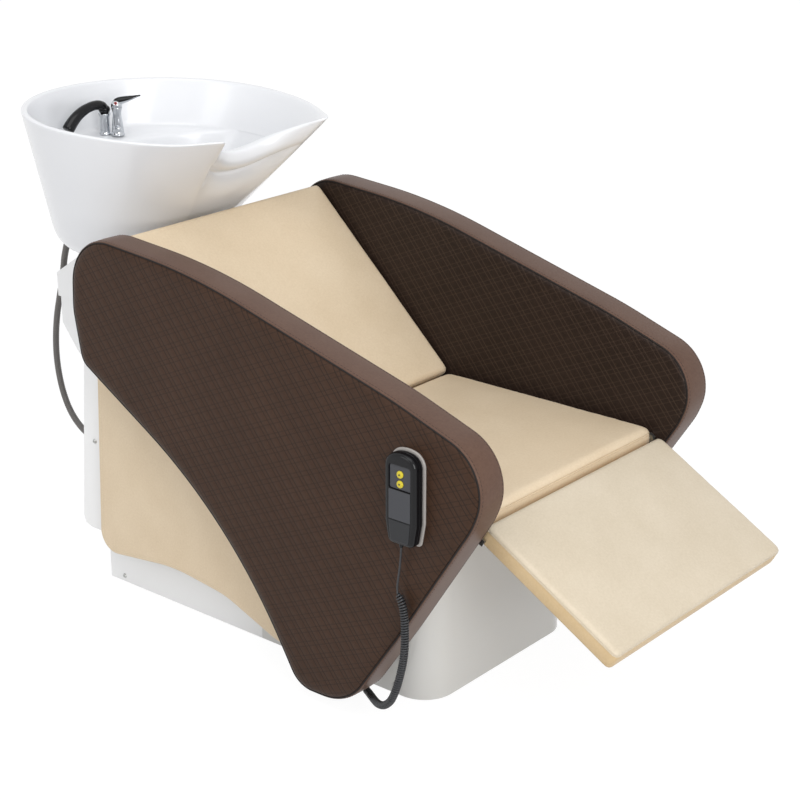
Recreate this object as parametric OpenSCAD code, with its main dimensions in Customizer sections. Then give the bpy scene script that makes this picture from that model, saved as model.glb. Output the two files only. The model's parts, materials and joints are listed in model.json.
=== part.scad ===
// Salon wash unit: an upholstered seat with an electric leg rest and a tilting ceramic basin.
// The sitter faces -Y and leans back to the basin. The origin is on the floor, under the base's centre.

/* [Overall] */
// Width over the two arms
unit_w = 680; // [650:1:740]
// Thickness of an arm
arm_t = 64; // [58:1:76]
// Height of the seat's top
seat_h = 429; // [415:1:450]
// Gap between a cushion's side and the arm beside it
cushion_gap = 14; // [14:1:20]

/* [Arms] */
// Thickness of the band sewn round an arm's edge
band_t = 8; // [5:0.5:12]
// Thickness of the plywood in an arm
arm_board_t = 18; // [12:1:22]
// Height that the quilted faces stand proud of the band's seams
arm_crown = 3; // [1:0.5:4]
// Diameter of the spacers that hold an arm off the side panel
spacer_d = 30; // [20:1:40]

/* [Seat and backrest] */
// Thickness of the seat cushion
seat_t = 38; // [34:1:40]
// Thickness of the plywood under the seat and behind the back
board_t = 12; // [9:1:15]
// How far the seat's front roll reaches in front of the origin
seat_front = 558; // [550:1:560]
// Thickness of the backrest cushion
back_t = 60; // [45:1:70]
// Slope of the backrest from the horizontal
back_slope = 43.3; // [40:0.1:45]
// Length of the backrest up its slope
back_len = 477; // [450:1:480]
// Height of a cushion's crown
crown = 4; // [2:0.5:8]

/* [Leg rest] */
// Length of the leg rest
leg_len = 304; // [260:1:320]
// Thickness of the leg rest
leg_t = 38; // [34:1:40]
// Slope of the leg rest from the horizontal, as it is shown
leg_slope = 29.6; // [28:0.1:31]
// Radius of the leg rest's hinge pins
hinge_r = 5; // [4:0.5:6]
// Radius from the hinge to the crank pin
crank_r = 80; // [76:1:84]
// Radius of the crank pin
crank_pin_r = 6; // [5:0.5:7]
// Radius of the actuator's rod
rod_r = 10; // [8:0.5:12]
// Wall of the actuator's tube
rod_tube_t = 6; // [4:0.5:8]

/* [Base] */
// Width of the base
base_w = 434; // [415:1:440]
// Length of the base
base_len = 840; // [830:1:850]
// Radius of the apron's front corners
apron_r = 62; // [50:1:80]
// Wall of the white casings
shell_t = 4; // [3:0.5:5]
// Thickness of the floor plate
plate_t = 6; // [5:0.5:8]
// Side of the square frame tubes
tube_s = 25; // [22:1:28]
// Wall of the frame tubes
tube_t = 2; // [1.5:0.5:3]
// Radius of the floor anchor holes
anchor_r = 5.5; // [4.5:0.5:6.5]
// Spacing of the anchor holes across the unit
anchor_x = 330; // [300:1:350]
// Spacing of the anchor holes along the unit
anchor_y = 640; // [600:1:660]

/* [Rear cover and side panels] */
// Width of the rear cover
cover_w = 500; // [490:1:506]
// Thickness of a side panel
side_t = 18; // [14:1:20]
// Width of the basin's support shroud
shroud_w = 150; // [140:1:156]

/* [Basin] */
// Half the width of the basin's rim
rim_a = 279; // [270:1:290]
// Length of the rim behind its widest point
rim_rear = 281; // [270:1:290]
// Length of the rim's curve in front of its widest point, before the neck is cut
rim_front = 362; // [352:1:372]
// Height of the rim at its widest point
rim_h = 936; // [926:1:950]
// Thickness of the basin's wall
bowl_t = 13; // [11:1:15]
// Radius of the waste hole
waste_r = 22; // [20:0.5:24]

/* [Tap and hoses] */
// Radius of the tap's body
tap_r = 12.5; // [11:0.5:15]
// Diameter of the hand shower's hose
hose_d = 14; // [12:0.5:14]
// Outer diameter of the waste outlet pipe
waste_pipe_d = 40; // [38:0.5:42]
// Outer diameter of the water inlets' threads
inlet_d = 20.9; // [19:0.1:22]

/* [Remote] */
// Width of the handset
remote_w = 66; // [58:1:70]
// Height of the handset
remote_h = 160; // [152:1:172]
// Depth of the handset
remote_t = 21; // [18:1:26]
// Diameter of a button
button_d = 13; // [10:0.5:14]
// Diameter of the handset's cord
cord_d = 3.6; // [3:0.1:4]
// Outer diameter of the cord's curls
curl_d = 11.6; // [10:0.1:12.4]
// Number of curls
curls = 62; // [40:1:64]

/* [Hidden] */

// Fineness of round parts
$fn = 48;
// Clearance between neighbouring pieces
gap = 0.3;

// Sideways places, all worked out from the overall width
arm_out = unit_w / 2;
arm_in = arm_out - arm_t;
cushion_half = arm_in - cushion_gap;
cover_half = cover_w / 2;
side_in = cover_half + gap;
side_out = side_in + side_t;
base_half = base_w / 2;

// Outline of an arm, seen from the side: y, z and the radius of each corner
arm_corners = [
    [334, 774, 98], [20, 750, 1300], [-440, 625, 1100], [-650, 553, 92], [-606, 440, 150], [-450, 194, 300],
    [-334, 24, 62], [-216, 22, 46], [-52, 299, 900], [325, 519, 36], [343, 620, 120]
];

// The backrest's frame: its lower front corner, on the plane of its top
back_foot = [-74, seat_h + 2];

// The leg rest's hinge, and the rear edge of its top, as it is shown
hinge_y = -(seat_front - 10);
hinge_z = seat_h - 27;
leg_top_y = hinge_y - 28;
leg_top_z = hinge_z + 15;

// The crank pin hangs under the hinge and swings alike to both sides of it over the whole travel
leg_down = 58;
leg_up = leg_slope;
crank_a = 270 - (leg_down - leg_up) / 2;
crank_y = hinge_y + crank_r * cos(crank_a);
crank_z = hinge_z + crank_r * sin(crank_a);
crank_gap = 3;
rod_z = hinge_z - crank_r + 11;
head_half = crank_pin_r + crank_gap + 8;

// Ends of the base
base_rear = base_len / 2;
base_front = -base_len / 2;
base_seam = -8;
apron_top = seat_h - seat_t - board_t - tube_s - 4;
rear_panel_top = 140;
floor_gap = 1;

// Seat frame
rail_top = seat_h - seat_t - board_t;
rail_z = rail_top - tube_s;
rail_x = base_half - 40;
rail_front = -500;
front_bar_y = -445;
mid_bar_y = -40;
upright_y = 285;

// Rear cover; its back leans forward towards the top
cover_front = 320;
cover_low = 118;
cover_top = 632;
cover_lean = 4.9;
function cover_at(z) = 456 - (z - 137) * tan(cover_lean);
bar_z = 298;
bar_y = 396;
post_y = 350;
post_s = 60;
service_y = 288;

// The basin's tilt pivot
tilt_y = 540;
tilt_z = 496;
tilt_r = 8;
ear_t = 6;
ear_x = 38;
carrier_top = 641.7;

// The basin's section at each height: z, half width, centre's y, rear length and front length
bowl_low = 642;
rim_y = 432;
bowl_base = [
    [bowl_low, 112, 492, 132, 96], [646, 140, 486, 160, 108], [653, 166, 481, 184, 112],
    [666, 184, 479, 203, 108], [686, 195, 478, 213, 106]
];
function rim_at(z) = (z - 686) / (rim_h - 686);
function sect(z) = z < 686
    ? [for (c = [1:4]) lookup(z, [for (b = bowl_base) [b[0], b[c]]])]
    : [195 + (rim_a - 195) * rim_at(z), 478 + (rim_y - 478) * rim_at(z),
       213 + (rim_rear - 213) * rim_at(z), 106 + (rim_front - 106) * rim_at(z)];
// Half the width between the front edges of the two horns, at each height
function horn_x(z) = lookup(z, [[642, 40], [686, 50], [767, 80], [802, 104], [847, 117], [891, 129], [933, 138]]);
// How far the neck's panel stands back from the basin's round front, from the 686 level (0) up to the lip (1)
neck_out = [
    [0, 0], [0.18, 6], [0.33, 8], [0.54, 22], [0.66, 38], [0.76, 53], [0.79, 54.5], [0.83, 53], [0.87, 57],
    [0.92, 66], [0.97, 79], [1, 88]
];
neck_in = [[0, 0], [0.33, 10], [0.54, 27], [0.76, 59], [0.87, 66], [1, 97]];
lip_z = 880;
deck_z = 845;
deck_y = 592;
bowl_floor = 668;
waste_y = 500;

// Tap and hand shower
tap_at = [41, 622, deck_z + 0.8];
holder_at = [31, 649, deck_z + 0.8];

// Route of the shower hose: from under the basin, hanging in a loop, into the rear cover
hose_route = [
    [-66, 669, 660], [-66, 671, 650], [-64, 676, 636], [-60, 688, 616], [-54, 703, 592], [-47, 717, 562],
    [-42, 731, 528], [-40, 745, 490], [-40, 757, 450], [-40, 765, 405], [-40, 768, 360], [-40, 764, 315],
    [-40, 753, 272], [-41, 733, 236], [-43, 704, 211], [-46, 668, 196], [-50, 624, 186], [-53, 576, 181],
    [-55, 528, 179], [-56, 486, 178], [-56, 466, 178], [-56, 450, 178]
];
hose_ribs = 60;

// Route of the waste hose, inside the shroud and the cover
waste_route = [
    [0, waste_y, 590], [0, waste_y, 560], [0, 502, 520], [-4, 504, 470], [-16, 498, 424], [-36, 478, 390],
    [-48, 450, 366], [-54, 420, 356], [-58, 388, 346], [-64, 366, 316], [-70, 346, 270], [-76, 320, 220],
    [-80, 296, 160], [-80, service_y, 116], [-80, service_y, 96]
];

// Handset, on the right arm's outer face
remote_y = -478;
remote_low = 388;
remote_x = -(arm_out + arm_crown + gap);
holder_t = 5;

// Route of the handset's cord: straight first, then curled, then under the arm to the base
cord_x = remote_x - holder_t - 9;
cord_gland_y = -276;
cord_gland_z = 52;
lead_route = [
    [cord_x, remote_y + 6, remote_low - 9], [cord_x, remote_y + 7, 364], [cord_x, -469, 343],
    [cord_x, -465, 318], [cord_x, -463, 304], [cord_x, -464, 294]
];
curl_route = [
    [cord_x, -464, 294], [cord_x, -469, 287], [cord_x, -475, 275], [cord_x, -479, 252], [cord_x, -480, 230],
    [cord_x, -480, 205], [cord_x, -478, 178], [cord_x, -472, 150], [cord_x, -465, 124], [cord_x, -457, 101],
    [cord_x + 2, -446, 81], [cord_x + 8, -427, 64], [cord_x + 20, -404, 53], [cord_x + 38, -380, 44],
    [cord_x + 60, -354, 33], [cord_x + 84, -326, 21], [cord_x + 96, -308, 17]
];
tail_route = [
    [cord_x + 96, -308, 17], [cord_x + 104, -298, 16], [-(base_half + 28), -288, 24],
    [-(base_half + 19), cord_gland_y, cord_gland_z], [-(base_half + 8), cord_gland_y, cord_gland_z]
];

// Joins the neighbours' directions into a rounded outline: corners are [a, b, radius]
function unit(v) = v / norm(v);
function corner_arc(p, q, r, rad, n) =
    let (u = unit(p - q), v = unit(r - q), half = acos(u * v) / 2,
         c = q + unit(u + v) * rad / sin(half), s = q + u * rad / tan(half) - c, e = q + v * rad / tan(half) - c,
         a0 = atan2(s[1], s[0]), turn = atan2(s[0] * e[1] - s[1] * e[0], s * e))
    [for (i = [0:n]) c + rad * [cos(a0 + turn * i / n), sin(a0 + turn * i / n)]];
function xy(p) = [p[0], p[1]];
function rounded(k, n = 4) =
    let (m = len(k))
    [for (i = [0:m - 1]) each corner_arc(xy(k[(i + m - 1) % m]), xy(k[i]), xy(k[(i + 1) % m]), k[i][2], n)];
// Moves each point of an anticlockwise outline inwards
function inset(p, d) =
    let (m = len(p))
    [for (i = [0:m - 1]) let (t = unit(p[(i + 1) % m] - p[(i + m - 1) % m])) p[i] + d * [-t[1], t[0]]];
// Places a side outline in space at a given x
function at_x(p, x) = [for (q = p) [x, q[0], q[1]]];

// Cuts a flat outline with hollows in it into triangles, one corner at a time
function turn(a, b, c) = (b[0] - a[0]) * (c[1] - a[1]) - (b[1] - a[1]) * (c[0] - a[0]);
function covers(a, b, c, p) = turn(a, b, p) >= 0 && turn(b, c, p) >= 0 && turn(c, a, p) >= 0;
function is_ear(p, left, k) =
    let (m = len(left), a = left[(k + m - 1) % m], b = left[k], c = left[(k + 1) % m])
    turn(p[a], p[b], p[c]) > 0 && len([for (q = left) if (q != a && q != b && q != c && covers(p[a], p[b], p[c], p[q])) q]) == 0;
function ears(p, left, j = 0) =
    let (m = len(left), k = j % m)
    m == 3 ? [left] : is_ear(p, left, k)
        ? concat([[left[(k + m - 1) % m], left[k], left[(k + 1) % m]]], ears(p, [for (i = [0:m - 1]) if (i != k) left[i]], k + 1))
        : ears(p, left, k + 1);

// Skin over flat outlines [places across the unit, outlines], whose ends may have hollows in them
module flat_skin(x, outlines) {
    n = len(outlines[0]);
    m = len(outlines);
    all_points = [for (i = [0:n - 1]) i];
    sides = [for (k = [0:m - 2]) for (i = [0:n - 1])
        let (a = k * n + i, b = k * n + (i + 1) % n)
        each [[a, a + n, b + n], [a, b + n, b]]];
    low = ears(outlines[0], all_points);
    high = [for (t = ears(outlines[m - 1], all_points)) [for (j = [2:-1:0]) (m - 1) * n + t[j]]];
    polyhedron([for (k = [0:m - 1]) each at_x(outlines[k], x[k])], concat(sides, low, high));
}

// Closed skin over rings of equal length
module skin(rings) {
    n = len(rings[0]);
    m = len(rings);
    sides = [for (k = [0:m - 2]) for (i = [0:n - 1])
        let (a = k * n + i, b = k * n + (i + 1) % n)
        each [[a, a + n, b + n], [a, b + n, b]]];
    ends = [[for (i = [0:n - 1]) i], [for (i = [0:n - 1]) m * n - 1 - i]];
    polyhedron([for (r = rings) each r], concat(sides, ends));
}

// Plate of a side outline between two places across the unit
module side_plate(p, x0, x1) {
    translate([x0, 0, 0]) rotate([90, 0, 90]) linear_extrude(x1 - x0) polygon(p);
}

// Box from its low corner to its high corner
module box(low, high) {
    translate(low) cube(high - low);
}

// Square tube along an axis, open at both ends
module tube(low, high, axis) {
    over = [for (i = [0:2]) i == axis ? 1 : -tube_t];
    difference() {
        box(low, high);
        box(low - over, high + over);
    }
}

// Cylinder along X between two places
module rod_x(x0, x1, y, z, r) {
    translate([x0, y, z]) rotate([0, 90, 0]) cylinder(r = r, h = x1 - x0);
}

// The same piece on both sides
module both() {
    children();
    mirror([1, 0, 0]) children();
}

// Padded form across the unit: its side outline swells to a crown, and its ends are drawn in
module pad(half_w, outline, swell, edge) {
    a = [for (p = outline) p[0]];
    b = [for (p = outline) p[1]];
    mid_a = (max(a) + min(a)) / 2;
    half_a = (max(a) - min(a)) / 2;
    mid_b = (max(b) + min(b)) / 2;
    side = [[half_w, edge], [half_w - edge * 0.3, edge * 0.3], [half_w - edge, 0], [half_w * 0.86, 0], [half_w * 0.45, 0]];
    steps = concat(side, [[0, 0]], [for (k = [4:-1:0]) [-side[k][0], side[k][1]]]);
    rings = [for (k = [len(steps) - 1:-1:0]) let (s = steps[k], q = inset(outline, s[1]), w = s[0] / half_w)
        [for (p = q) let (t = min(1, abs(p[0] - mid_a) / half_a), rise = swell * (1 - pow(w, 4)) * (1 - pow(t, 4)))
            [s[0], p[0], p[1] + (p[1] > mid_b ? rise : 0)]]];
    skin(rings);
}

// Tube swept along a route; it stays level with the vertical, and its rings stand square to the route
function dir(p, i) = unit(p[min(i + 1, len(p) - 1)] - p[max(i - 1, 0)]);
function frame_at(d) = let (n = unit(cross(d, abs(d[2]) > 0.95 ? [1, 0, 0] : [0, 0, 1]))) [n, cross(d, n)];
function ring(c, d, r, n) =
    let (f = frame_at(d)) [for (i = [0:n - 1]) c + r * (cos(360 * i / n) * f[0] + sin(360 * i / n) * f[1])];

// Length along a route and the point at a length
function lengths(p, i = 0, s = 0) =
    i >= len(p) - 1 ? [s] : concat([s], lengths(p, i + 1, s + norm(p[i + 1] - p[i])));
function along(p, l, s) = [for (c = [0:2]) lookup(s, [for (i = [0:len(p) - 1]) [l[i], p[i][c]]])];
// A route smoothed by cutting its corners
function smooth(p) = concat([p[0]],
    [for (i = [0:len(p) - 2]) each [p[i] * 0.75 + p[i + 1] * 0.25, p[i] * 0.25 + p[i + 1] * 0.75]],
    [p[len(p) - 1]]);

// Frame of the steel base
module floor_plate() {
    color("dimgray") difference() {
        union() {
            box([-base_half + shell_t + gap, base_front + apron_r, 0],
                [base_half - shell_t - gap, base_rear - shell_t - gap, plate_t]);
            box([-base_half + apron_r, base_front + shell_t + 6, 0], [base_half - apron_r, base_front + apron_r, plate_t]);
            both() box([base_half - shell_t - gap - plate_t, base_front + apron_r, 0],
                [base_half - shell_t - gap, base_rear - shell_t - gap, 30]);
        }
        for (x = [-1, 1], y = [-1, 1])
            translate([x * anchor_x / 2, y * anchor_y / 2, -1]) cylinder(r = anchor_r, h = plate_t + 2);
        box([-110, service_y - 42, -1], [110, service_y + 42, plate_t + 1]);
        screw_holes();
    }
}

// Bracket over the floor plate's opening, for the waste pipe and the water inlets
bracket_z = 40;

module service_bracket() {
    color("dimgray") difference() {
        union() {
            box([-128, service_y - 26, bracket_z], [128, service_y + 26, bracket_z + 5]);
            both() box([123, service_y - 26, plate_t], [128, service_y + 26, bracket_z]);
        }
        translate([-80, service_y, bracket_z - 1]) cylinder(r = waste_pipe_d / 2 + 2.3, h = 8);
        for (x = [30, 90]) translate([x, service_y, bracket_z - 1]) cylinder(r = inlet_d / 2 + 1.35, h = 8);
    }
}

// Steel tubes that stand on the floor plate: front legs, and rear legs that go on up to the back
module frame_uprights() {
    under = back_t + board_t + 2 * gap;
    color("dimgray") {
        difference() {
            both() tube([rail_x, upright_y, plate_t + gap], [rail_x + tube_s, upright_y + tube_s, 720], 2);
            back_space() box([-400, -400, -under - tube_s - gap], [400, 900, 400]);
        }
        both() tube([rail_x, base_front + apron_r + 4, plate_t + gap],
            [rail_x + tube_s, base_front + apron_r + 4 + tube_s, rail_z - gap], 2);
    }
}

// Rails of the seat, and the sloping rails of the back
module frame_rails() {
    under = back_t + board_t + 2 * gap;
    color("dimgray") {
        both() tube([rail_x, rail_front, rail_z], [rail_x + tube_s, upright_y - gap, rail_top], 1);
        both() back_space() tube([rail_x + 1.5, 70, -under - tube_s], [rail_x + tube_s - 1.5, back_len - 50, -under], 1);
    }
}

// Bars across the frame, those that hold the side panels, and those that hold the rear cover
module frame_bars() {
    color("dimgray") {
        for (y = [front_bar_y, mid_bar_y]) {
            tube([-rail_x + gap, y, rail_z], [rail_x - gap, y + tube_s, rail_top], 0);
            both() tube([rail_x + tube_s + gap, y < -100 ? y + 60 : y, rail_z],
                [side_in - gap, (y < -100 ? y + 60 : y) + tube_s, rail_top], 0);
        }
        both() tube([rail_x, upright_y + tube_s + gap, bar_z], [rail_x + tube_s, bar_y - gap, bar_z + tube_s], 1);
        both() tube([30, bar_y, bar_z], [cover_half - shell_t - gap, bar_y + tube_s, bar_z + tube_s], 0);
        both() tube([rail_x + tube_s + gap, upright_y + 3, bar_z], [side_in - gap, upright_y + tube_s - 3, bar_z + tube_s], 0);
    }
}

// Places its children on the backrest's slope: y runs up the slope, z stands out of the cushion
module back_space() {
    translate([0, back_foot[0], back_foot[1]]) rotate([back_slope, 0, 0]) children();
}

// Post and ears that carry the basin
module basin_post() {
    y1 = post_y + post_s;
    low = tilt_z - 120;
    high = tilt_z - 40;
    color("dimgray") difference() {
        union() {
            tube([-30, post_y, plate_t], [30, y1, high], 2);
            box([-30, post_y, high - 6], [30, y1, high]);
            both() box([30, post_y + 2, low], [ear_x + ear_t, y1 - 2, high]);
            both() side_plate([[y1 - 2, low], [tilt_y + 20, tilt_z - 22], [tilt_y + 20, tilt_z + 18],
                [tilt_y - 20, tilt_z + 18], [y1 - 2, high]], ear_x, ear_x + ear_t);
        }
        rod_x(-60, 60, tilt_y, tilt_z, tilt_r + 0.05);
    }
}

// Plan of the casing round the base; it is cut into a rear panel and a front apron
module base_plan(d) {
    r = apron_r - d;
    x = base_half - d;
    for (sx = [-1, 1]) translate([sx * (x - r), base_front + d + r]) circle(r = r);
    translate([-(x - r), base_front + d]) square([2 * (x - r), 2 * r]);
    translate([-x, base_front + d + r]) square([2 * x, base_len - 2 * d - r]);
}

module base_casing(y0, y1, h) {
    intersection() {
        translate([0, 0, floor_gap]) linear_extrude(h - floor_gap) difference() {
            base_plan(0);
            base_plan(shell_t);
        }
        box([-base_w, y0, 0], [base_w, y1, h]);
    }
}

module screw_holes() {
    for (s = screw_seats)
        mirror([s[0] < 0 ? 1 : 0, 0, 0]) rod_x(abs(s[0]) - 12, abs(s[0]) + 2, s[1], s[2], 2.6);
}

screw_seats = [for (sx = [-1, 1]) each [
    [sx * base_half, base_rear - 41, 13.5], [sx * base_half, base_front + apron_r + 18, 18],
    [sx * cover_half, bar_y + tube_s / 2, bar_z + tube_s / 2]
]];

module rear_base_panel() {
    color("whitesmoke") difference() {
        base_casing(base_seam + gap / 2, base_rear + 1, rear_panel_top);
        screw_holes();
    }
}

module front_apron() {
    color("gainsboro") difference() {
        base_casing(base_front - 1, base_seam - gap / 2, apron_top);
        screw_holes();
        box([-32, base_front - 2, rod_z - 32], [32, base_front + 20, apron_top + 1]);
        translate([-base_half - 2, cord_gland_y, cord_gland_z]) rotate([0, 90, 0]) cylinder(r = 6.3, h = shell_t + 4);
    }
}

// Button-head screws that hold the casings to the frame
module base_screws() {
    color("silver") for (s = screw_seats)
        mirror([s[0] < 0 ? 1 : 0, 0, 0]) {
            rod_x(abs(s[0]) - shell_t - 4, abs(s[0]) + gap, s[1], s[2], 2.3);
            translate([abs(s[0]) + gap, s[1], s[2]]) rotate([0, 90, 0]) difference() {
                cylinder(r1 = 5, r2 = 3.4, h = 2.4);
                translate([0, 0, 1]) cylinder(r = 1.6, h = 3, $fn = 6);
            }
        }
}

// White cover behind the back, open to the front and below
cover_side = [[cover_at(cover_top - 40), cover_top - 40], [cover_at(cover_top) - 28, cover_top - 6],
    [cover_front + 30, cover_top - 4], [cover_front + 24, cover_top + 46], [cover_front, cover_top + 46],
    [cover_front, cover_low], [cover_at(cover_low) - 24, cover_low], [cover_at(cover_low) - 7, cover_low + 6],
    [cover_at(cover_low + 22), cover_low + 22]];
cover_inner = [[cover_at(cover_top - 42) - shell_t, cover_top - 42], [cover_at(cover_top) - 29, cover_top - 10],
    [cover_front + 26, cover_top - 8], [cover_front + 20, cover_top + 42], [cover_front - 1, cover_top + 42],
    [cover_front - 1, cover_low - 1], [cover_at(cover_low) - shell_t, cover_low - 1]];

module rear_cover() {
    color("whitesmoke") difference() {
        side_plate(cover_side, -cover_half, cover_half);
        side_plate(cover_inner, -cover_half + shell_t, cover_half - shell_t);
        box([-shroud_in, 400, 292], [shroud_in, 460, cover_top - 60]);
        screw_holes();
        hose_port() translate([0, 0, -12]) cylinder(r = hose_d / 2 + 4.2, h = 24);
    }
}

// Where the shower hose enters the cover, square to its back
module hose_port() {
    translate([hose_in[0], cover_at(hose_in[2]), hose_in[2]]) rotate([-90 + cover_lean, 0, 0]) children();
}

// Upholstered side panels
side_corners = [
    [362, 640, 10], [238, 636, 20], [-44, 372, 40], [-500, 372, 28], [-520, 330, 28], [-250, 40, 60],
    [-96, 42, 100], [40, 94, 200], [180, 110, 400], [390, 84, 42]
];

module side_panel() {
    p = rounded(side_corners);
    flat_skin([side_in, side_out - 4, side_out - 1.2, side_out], [p, p, inset(p, 1), inset(p, 4)]);
}

module side_panel_right() { color("burlywood") mirror([1, 0, 0]) side_panel(); }
module side_panel_left() { color("burlywood") side_panel(); }

// Bolted spacers that hold each arm off its side panel
spacer_seats = [[-420, 300], [-200, 130], [-60, 330], [160, 522], [280, 570]];

module arm_spacers() {
    color("dimgray") both() for (s = spacer_seats) rod_x(side_out + gap, arm_in - gap, s[0], s[1], spacer_d / 2);
}

// One arm: plywood, a smooth band round its edge and two quilted pads
arm_outline = rounded(arm_corners);

module arm_board() {
    x = arm_in + (arm_t - arm_board_t) / 2;
    side_plate(inset(arm_outline, band_t + gap), x, x + arm_board_t);
}

module arm_band() {
    difference() {
        side_plate(arm_outline, arm_in + 1, arm_out - 1);
        side_plate(inset(arm_outline, band_t), arm_in, arm_out);
    }
}

module arm_pad(x0, x1, swell) {
    p = inset(arm_outline, band_t + gap);
    s = sign(x1 - x0);
    x = [x0, x1 - s * 5, x1, x1 + s * swell];
    outlines = [p, p, inset(p, 5), inset(p, 26)];
    back = [3, 2, 1, 0];
    if (s > 0) flat_skin(x, outlines);
    else flat_skin([for (k = back) x[k]], [for (k = back) outlines[k]]);
}

module arm_outer_pad() { arm_pad(arm_in + (arm_t + arm_board_t) / 2 + gap, arm_out, arm_crown); }
module arm_inner_pad() { arm_pad(arm_in + (arm_t - arm_board_t) / 2 - gap, arm_in, 0); }

module arm_board_right() { color("peru") mirror([1, 0, 0]) arm_board(); }
module arm_band_right() { color([0.42, 0.33, 0.29]) mirror([1, 0, 0]) arm_band(); }
module arm_outer_pad_right() { color([0.25, 0.19, 0.16]) mirror([1, 0, 0]) arm_outer_pad(); }
module arm_inner_pad_right() { color([0.25, 0.19, 0.16]) mirror([1, 0, 0]) arm_inner_pad(); }
module arm_board_left() { color("peru") arm_board(); }
module arm_band_left() { color([0.42, 0.33, 0.29]) arm_band(); }
module arm_outer_pad_left() { color([0.25, 0.19, 0.16]) arm_outer_pad(); }
module arm_inner_pad_left() { color([0.25, 0.19, 0.16]) arm_inner_pad(); }

// Seat: plywood and a cushion with a rolled front
board_half = cushion_half - 12;
seat_rear = back_foot[0] - 2;

module seat_board() {
    color("peru") box([-board_half, -(seat_front - 33), rail_top + gap], [board_half, seat_rear + 30, rail_top + board_t]);
}

module seat_cushion() {
    low = seat_h - seat_t + gap;
    color("wheat") pad(cushion_half + 0.7, rounded([
        [seat_rear, seat_h, 8], [-seat_front, seat_h + 5, 17], [-seat_front, low, 15], [seat_rear, low, 8]
    ]), crown, 7);
}

module back_board() {
    color("peru") back_space() box([-board_half, 60, -back_t - board_t - gap], [board_half, back_len - 12, -back_t - gap]);
}

module back_cushion() {
    color("wheat") back_space() pad(cushion_half + 8, rounded([
        [back_len, 0, 9], [0, 0, 9], [0, -back_t, 9], [back_len, -back_t, 12]
    ]), crown, 5);
}

// Places its children on the leg rest's slope: y runs out along it, z stands out of its top
module leg_space() {
    translate([0, leg_top_y, leg_top_z]) rotate([leg_slope, 0, 0]) mirror([0, 1, 0]) children();
}

// Plates fixed under the seat board that carry the leg rest's hinge
plate_x = cushion_half + 6;
hinge_plate_t = 3.7;

module hinge_plates() {
    x0 = plate_x;
    color("gray") both() difference() {
        union() {
            side_plate([[hinge_y - 2, hinge_z + 12], [hinge_y - 12, hinge_z + 6], [hinge_y - 10, hinge_z - 8],
                [hinge_y + 30, rail_top - 4], [hinge_y + 72, rail_top - 4], [hinge_y + 72, rail_top],
                [hinge_y + 50, rail_top + 6], [hinge_y + 12, hinge_z + 4]], x0, x0 + hinge_plate_t);
            box([rail_x + tube_s + 4, hinge_y + 30, rail_top - 4], [x0 + hinge_plate_t, hinge_y + 72, rail_top]);
        }
        rod_x(x0 - 1, x0 + 9, hinge_y, hinge_z, hinge_r + 0.04);
    }
}

module hinge_pins() {
    color("silver") both() {
        rod_x(cushion_half + 1, plate_x + hinge_plate_t + 1, hinge_y, hinge_z, hinge_r);
        rod_x(plate_x + hinge_plate_t + gap, plate_x + hinge_plate_t + 2, hinge_y, hinge_z, hinge_r + 3);
    }
}

// Leg rest: brackets, plywood, cushion and the crank under it. The metal lies in the plywood's recess
leg_plate_t = 3.7;

module leg_rest_brackets() {
    x0 = cushion_half + 1.5;
    t = 3.5;
    color("gray") both() difference() {
        union() {
            side_plate([for (p = [[10, 8], [0, 13], [-10, 8], [-14, -10], [-20, -24], [-10, -20], [4, -12]])
                [hinge_y + p[0], hinge_z + p[1]]], x0, x0 + t);
            leg_space() box([x0, 1, -leg_t], [x0 + t, 14, -leg_t + 12]);
            leg_space() box([board_half - 30, 1, -leg_t], [x0 + t, 14, -leg_t + leg_plate_t]);
            leg_space() box([board_half - 30, 1, -leg_t], [board_half, 66, -leg_t + leg_plate_t]);
        }
        rod_x(x0 - 1, x0 + t + 1, hinge_y, hinge_z, hinge_r + 0.05);
    }
}

module leg_rest_board() {
    low = -leg_t + leg_plate_t + gap;
    color("peru") leg_space() box([-board_half, 16, low], [board_half, leg_len - 16, low + board_t - 3]);
}

module leg_rest_cushion() {
    pocket = -leg_t + leg_plate_t + board_t - 3 + 2 * gap;
    color("wheat") difference() {
        leg_space() pad(cushion_half, rounded([[0, 0, 7], [0, -leg_t, 4], [leg_len, -leg_t, 4], [leg_len, 0, 7]]), crown, 3);
        leg_space() box([-board_half - gap, 16 - gap, -leg_t - 1], [board_half + gap, leg_len - 16 + gap, pocket]);
        both() leg_space() box([board_half - 31, -1, -leg_t - 1], [cushion_half + 1, 16, -leg_t + leg_plate_t + gap]);
    }
}

module leg_rest_crank() {
    color("gray") {
        both() difference() {
            union() {
                side_plate([[crank_y - 12, crank_z + 2], leg_under(80), leg_under(20), [crank_y + 12, crank_z]], 13, 18);
                rod_x(13, 18, crank_y, crank_z, 13);
            }
            rod_x(12, 19, crank_y, crank_z, crank_pin_r - 0.1);
        }
        rod_x(-19, 19, crank_y, crank_z, crank_pin_r);
        leg_space() box([-40, 18, -leg_t], [40, 84, -leg_t + leg_plate_t]);
    }
}

// A point on the underside of the leg rest, at a distance from its rear edge
function leg_under(s) = [leg_top_y - s * cos(leg_slope) + (leg_t - 2) * sin(leg_slope),
    leg_top_z - s * sin(leg_slope) - (leg_t - 2) * cos(leg_slope)];

// Electric actuator: housing, motor and a rod with a slotted head round the crank pin
tube_front = -445;
tube_rear = -215;

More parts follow.
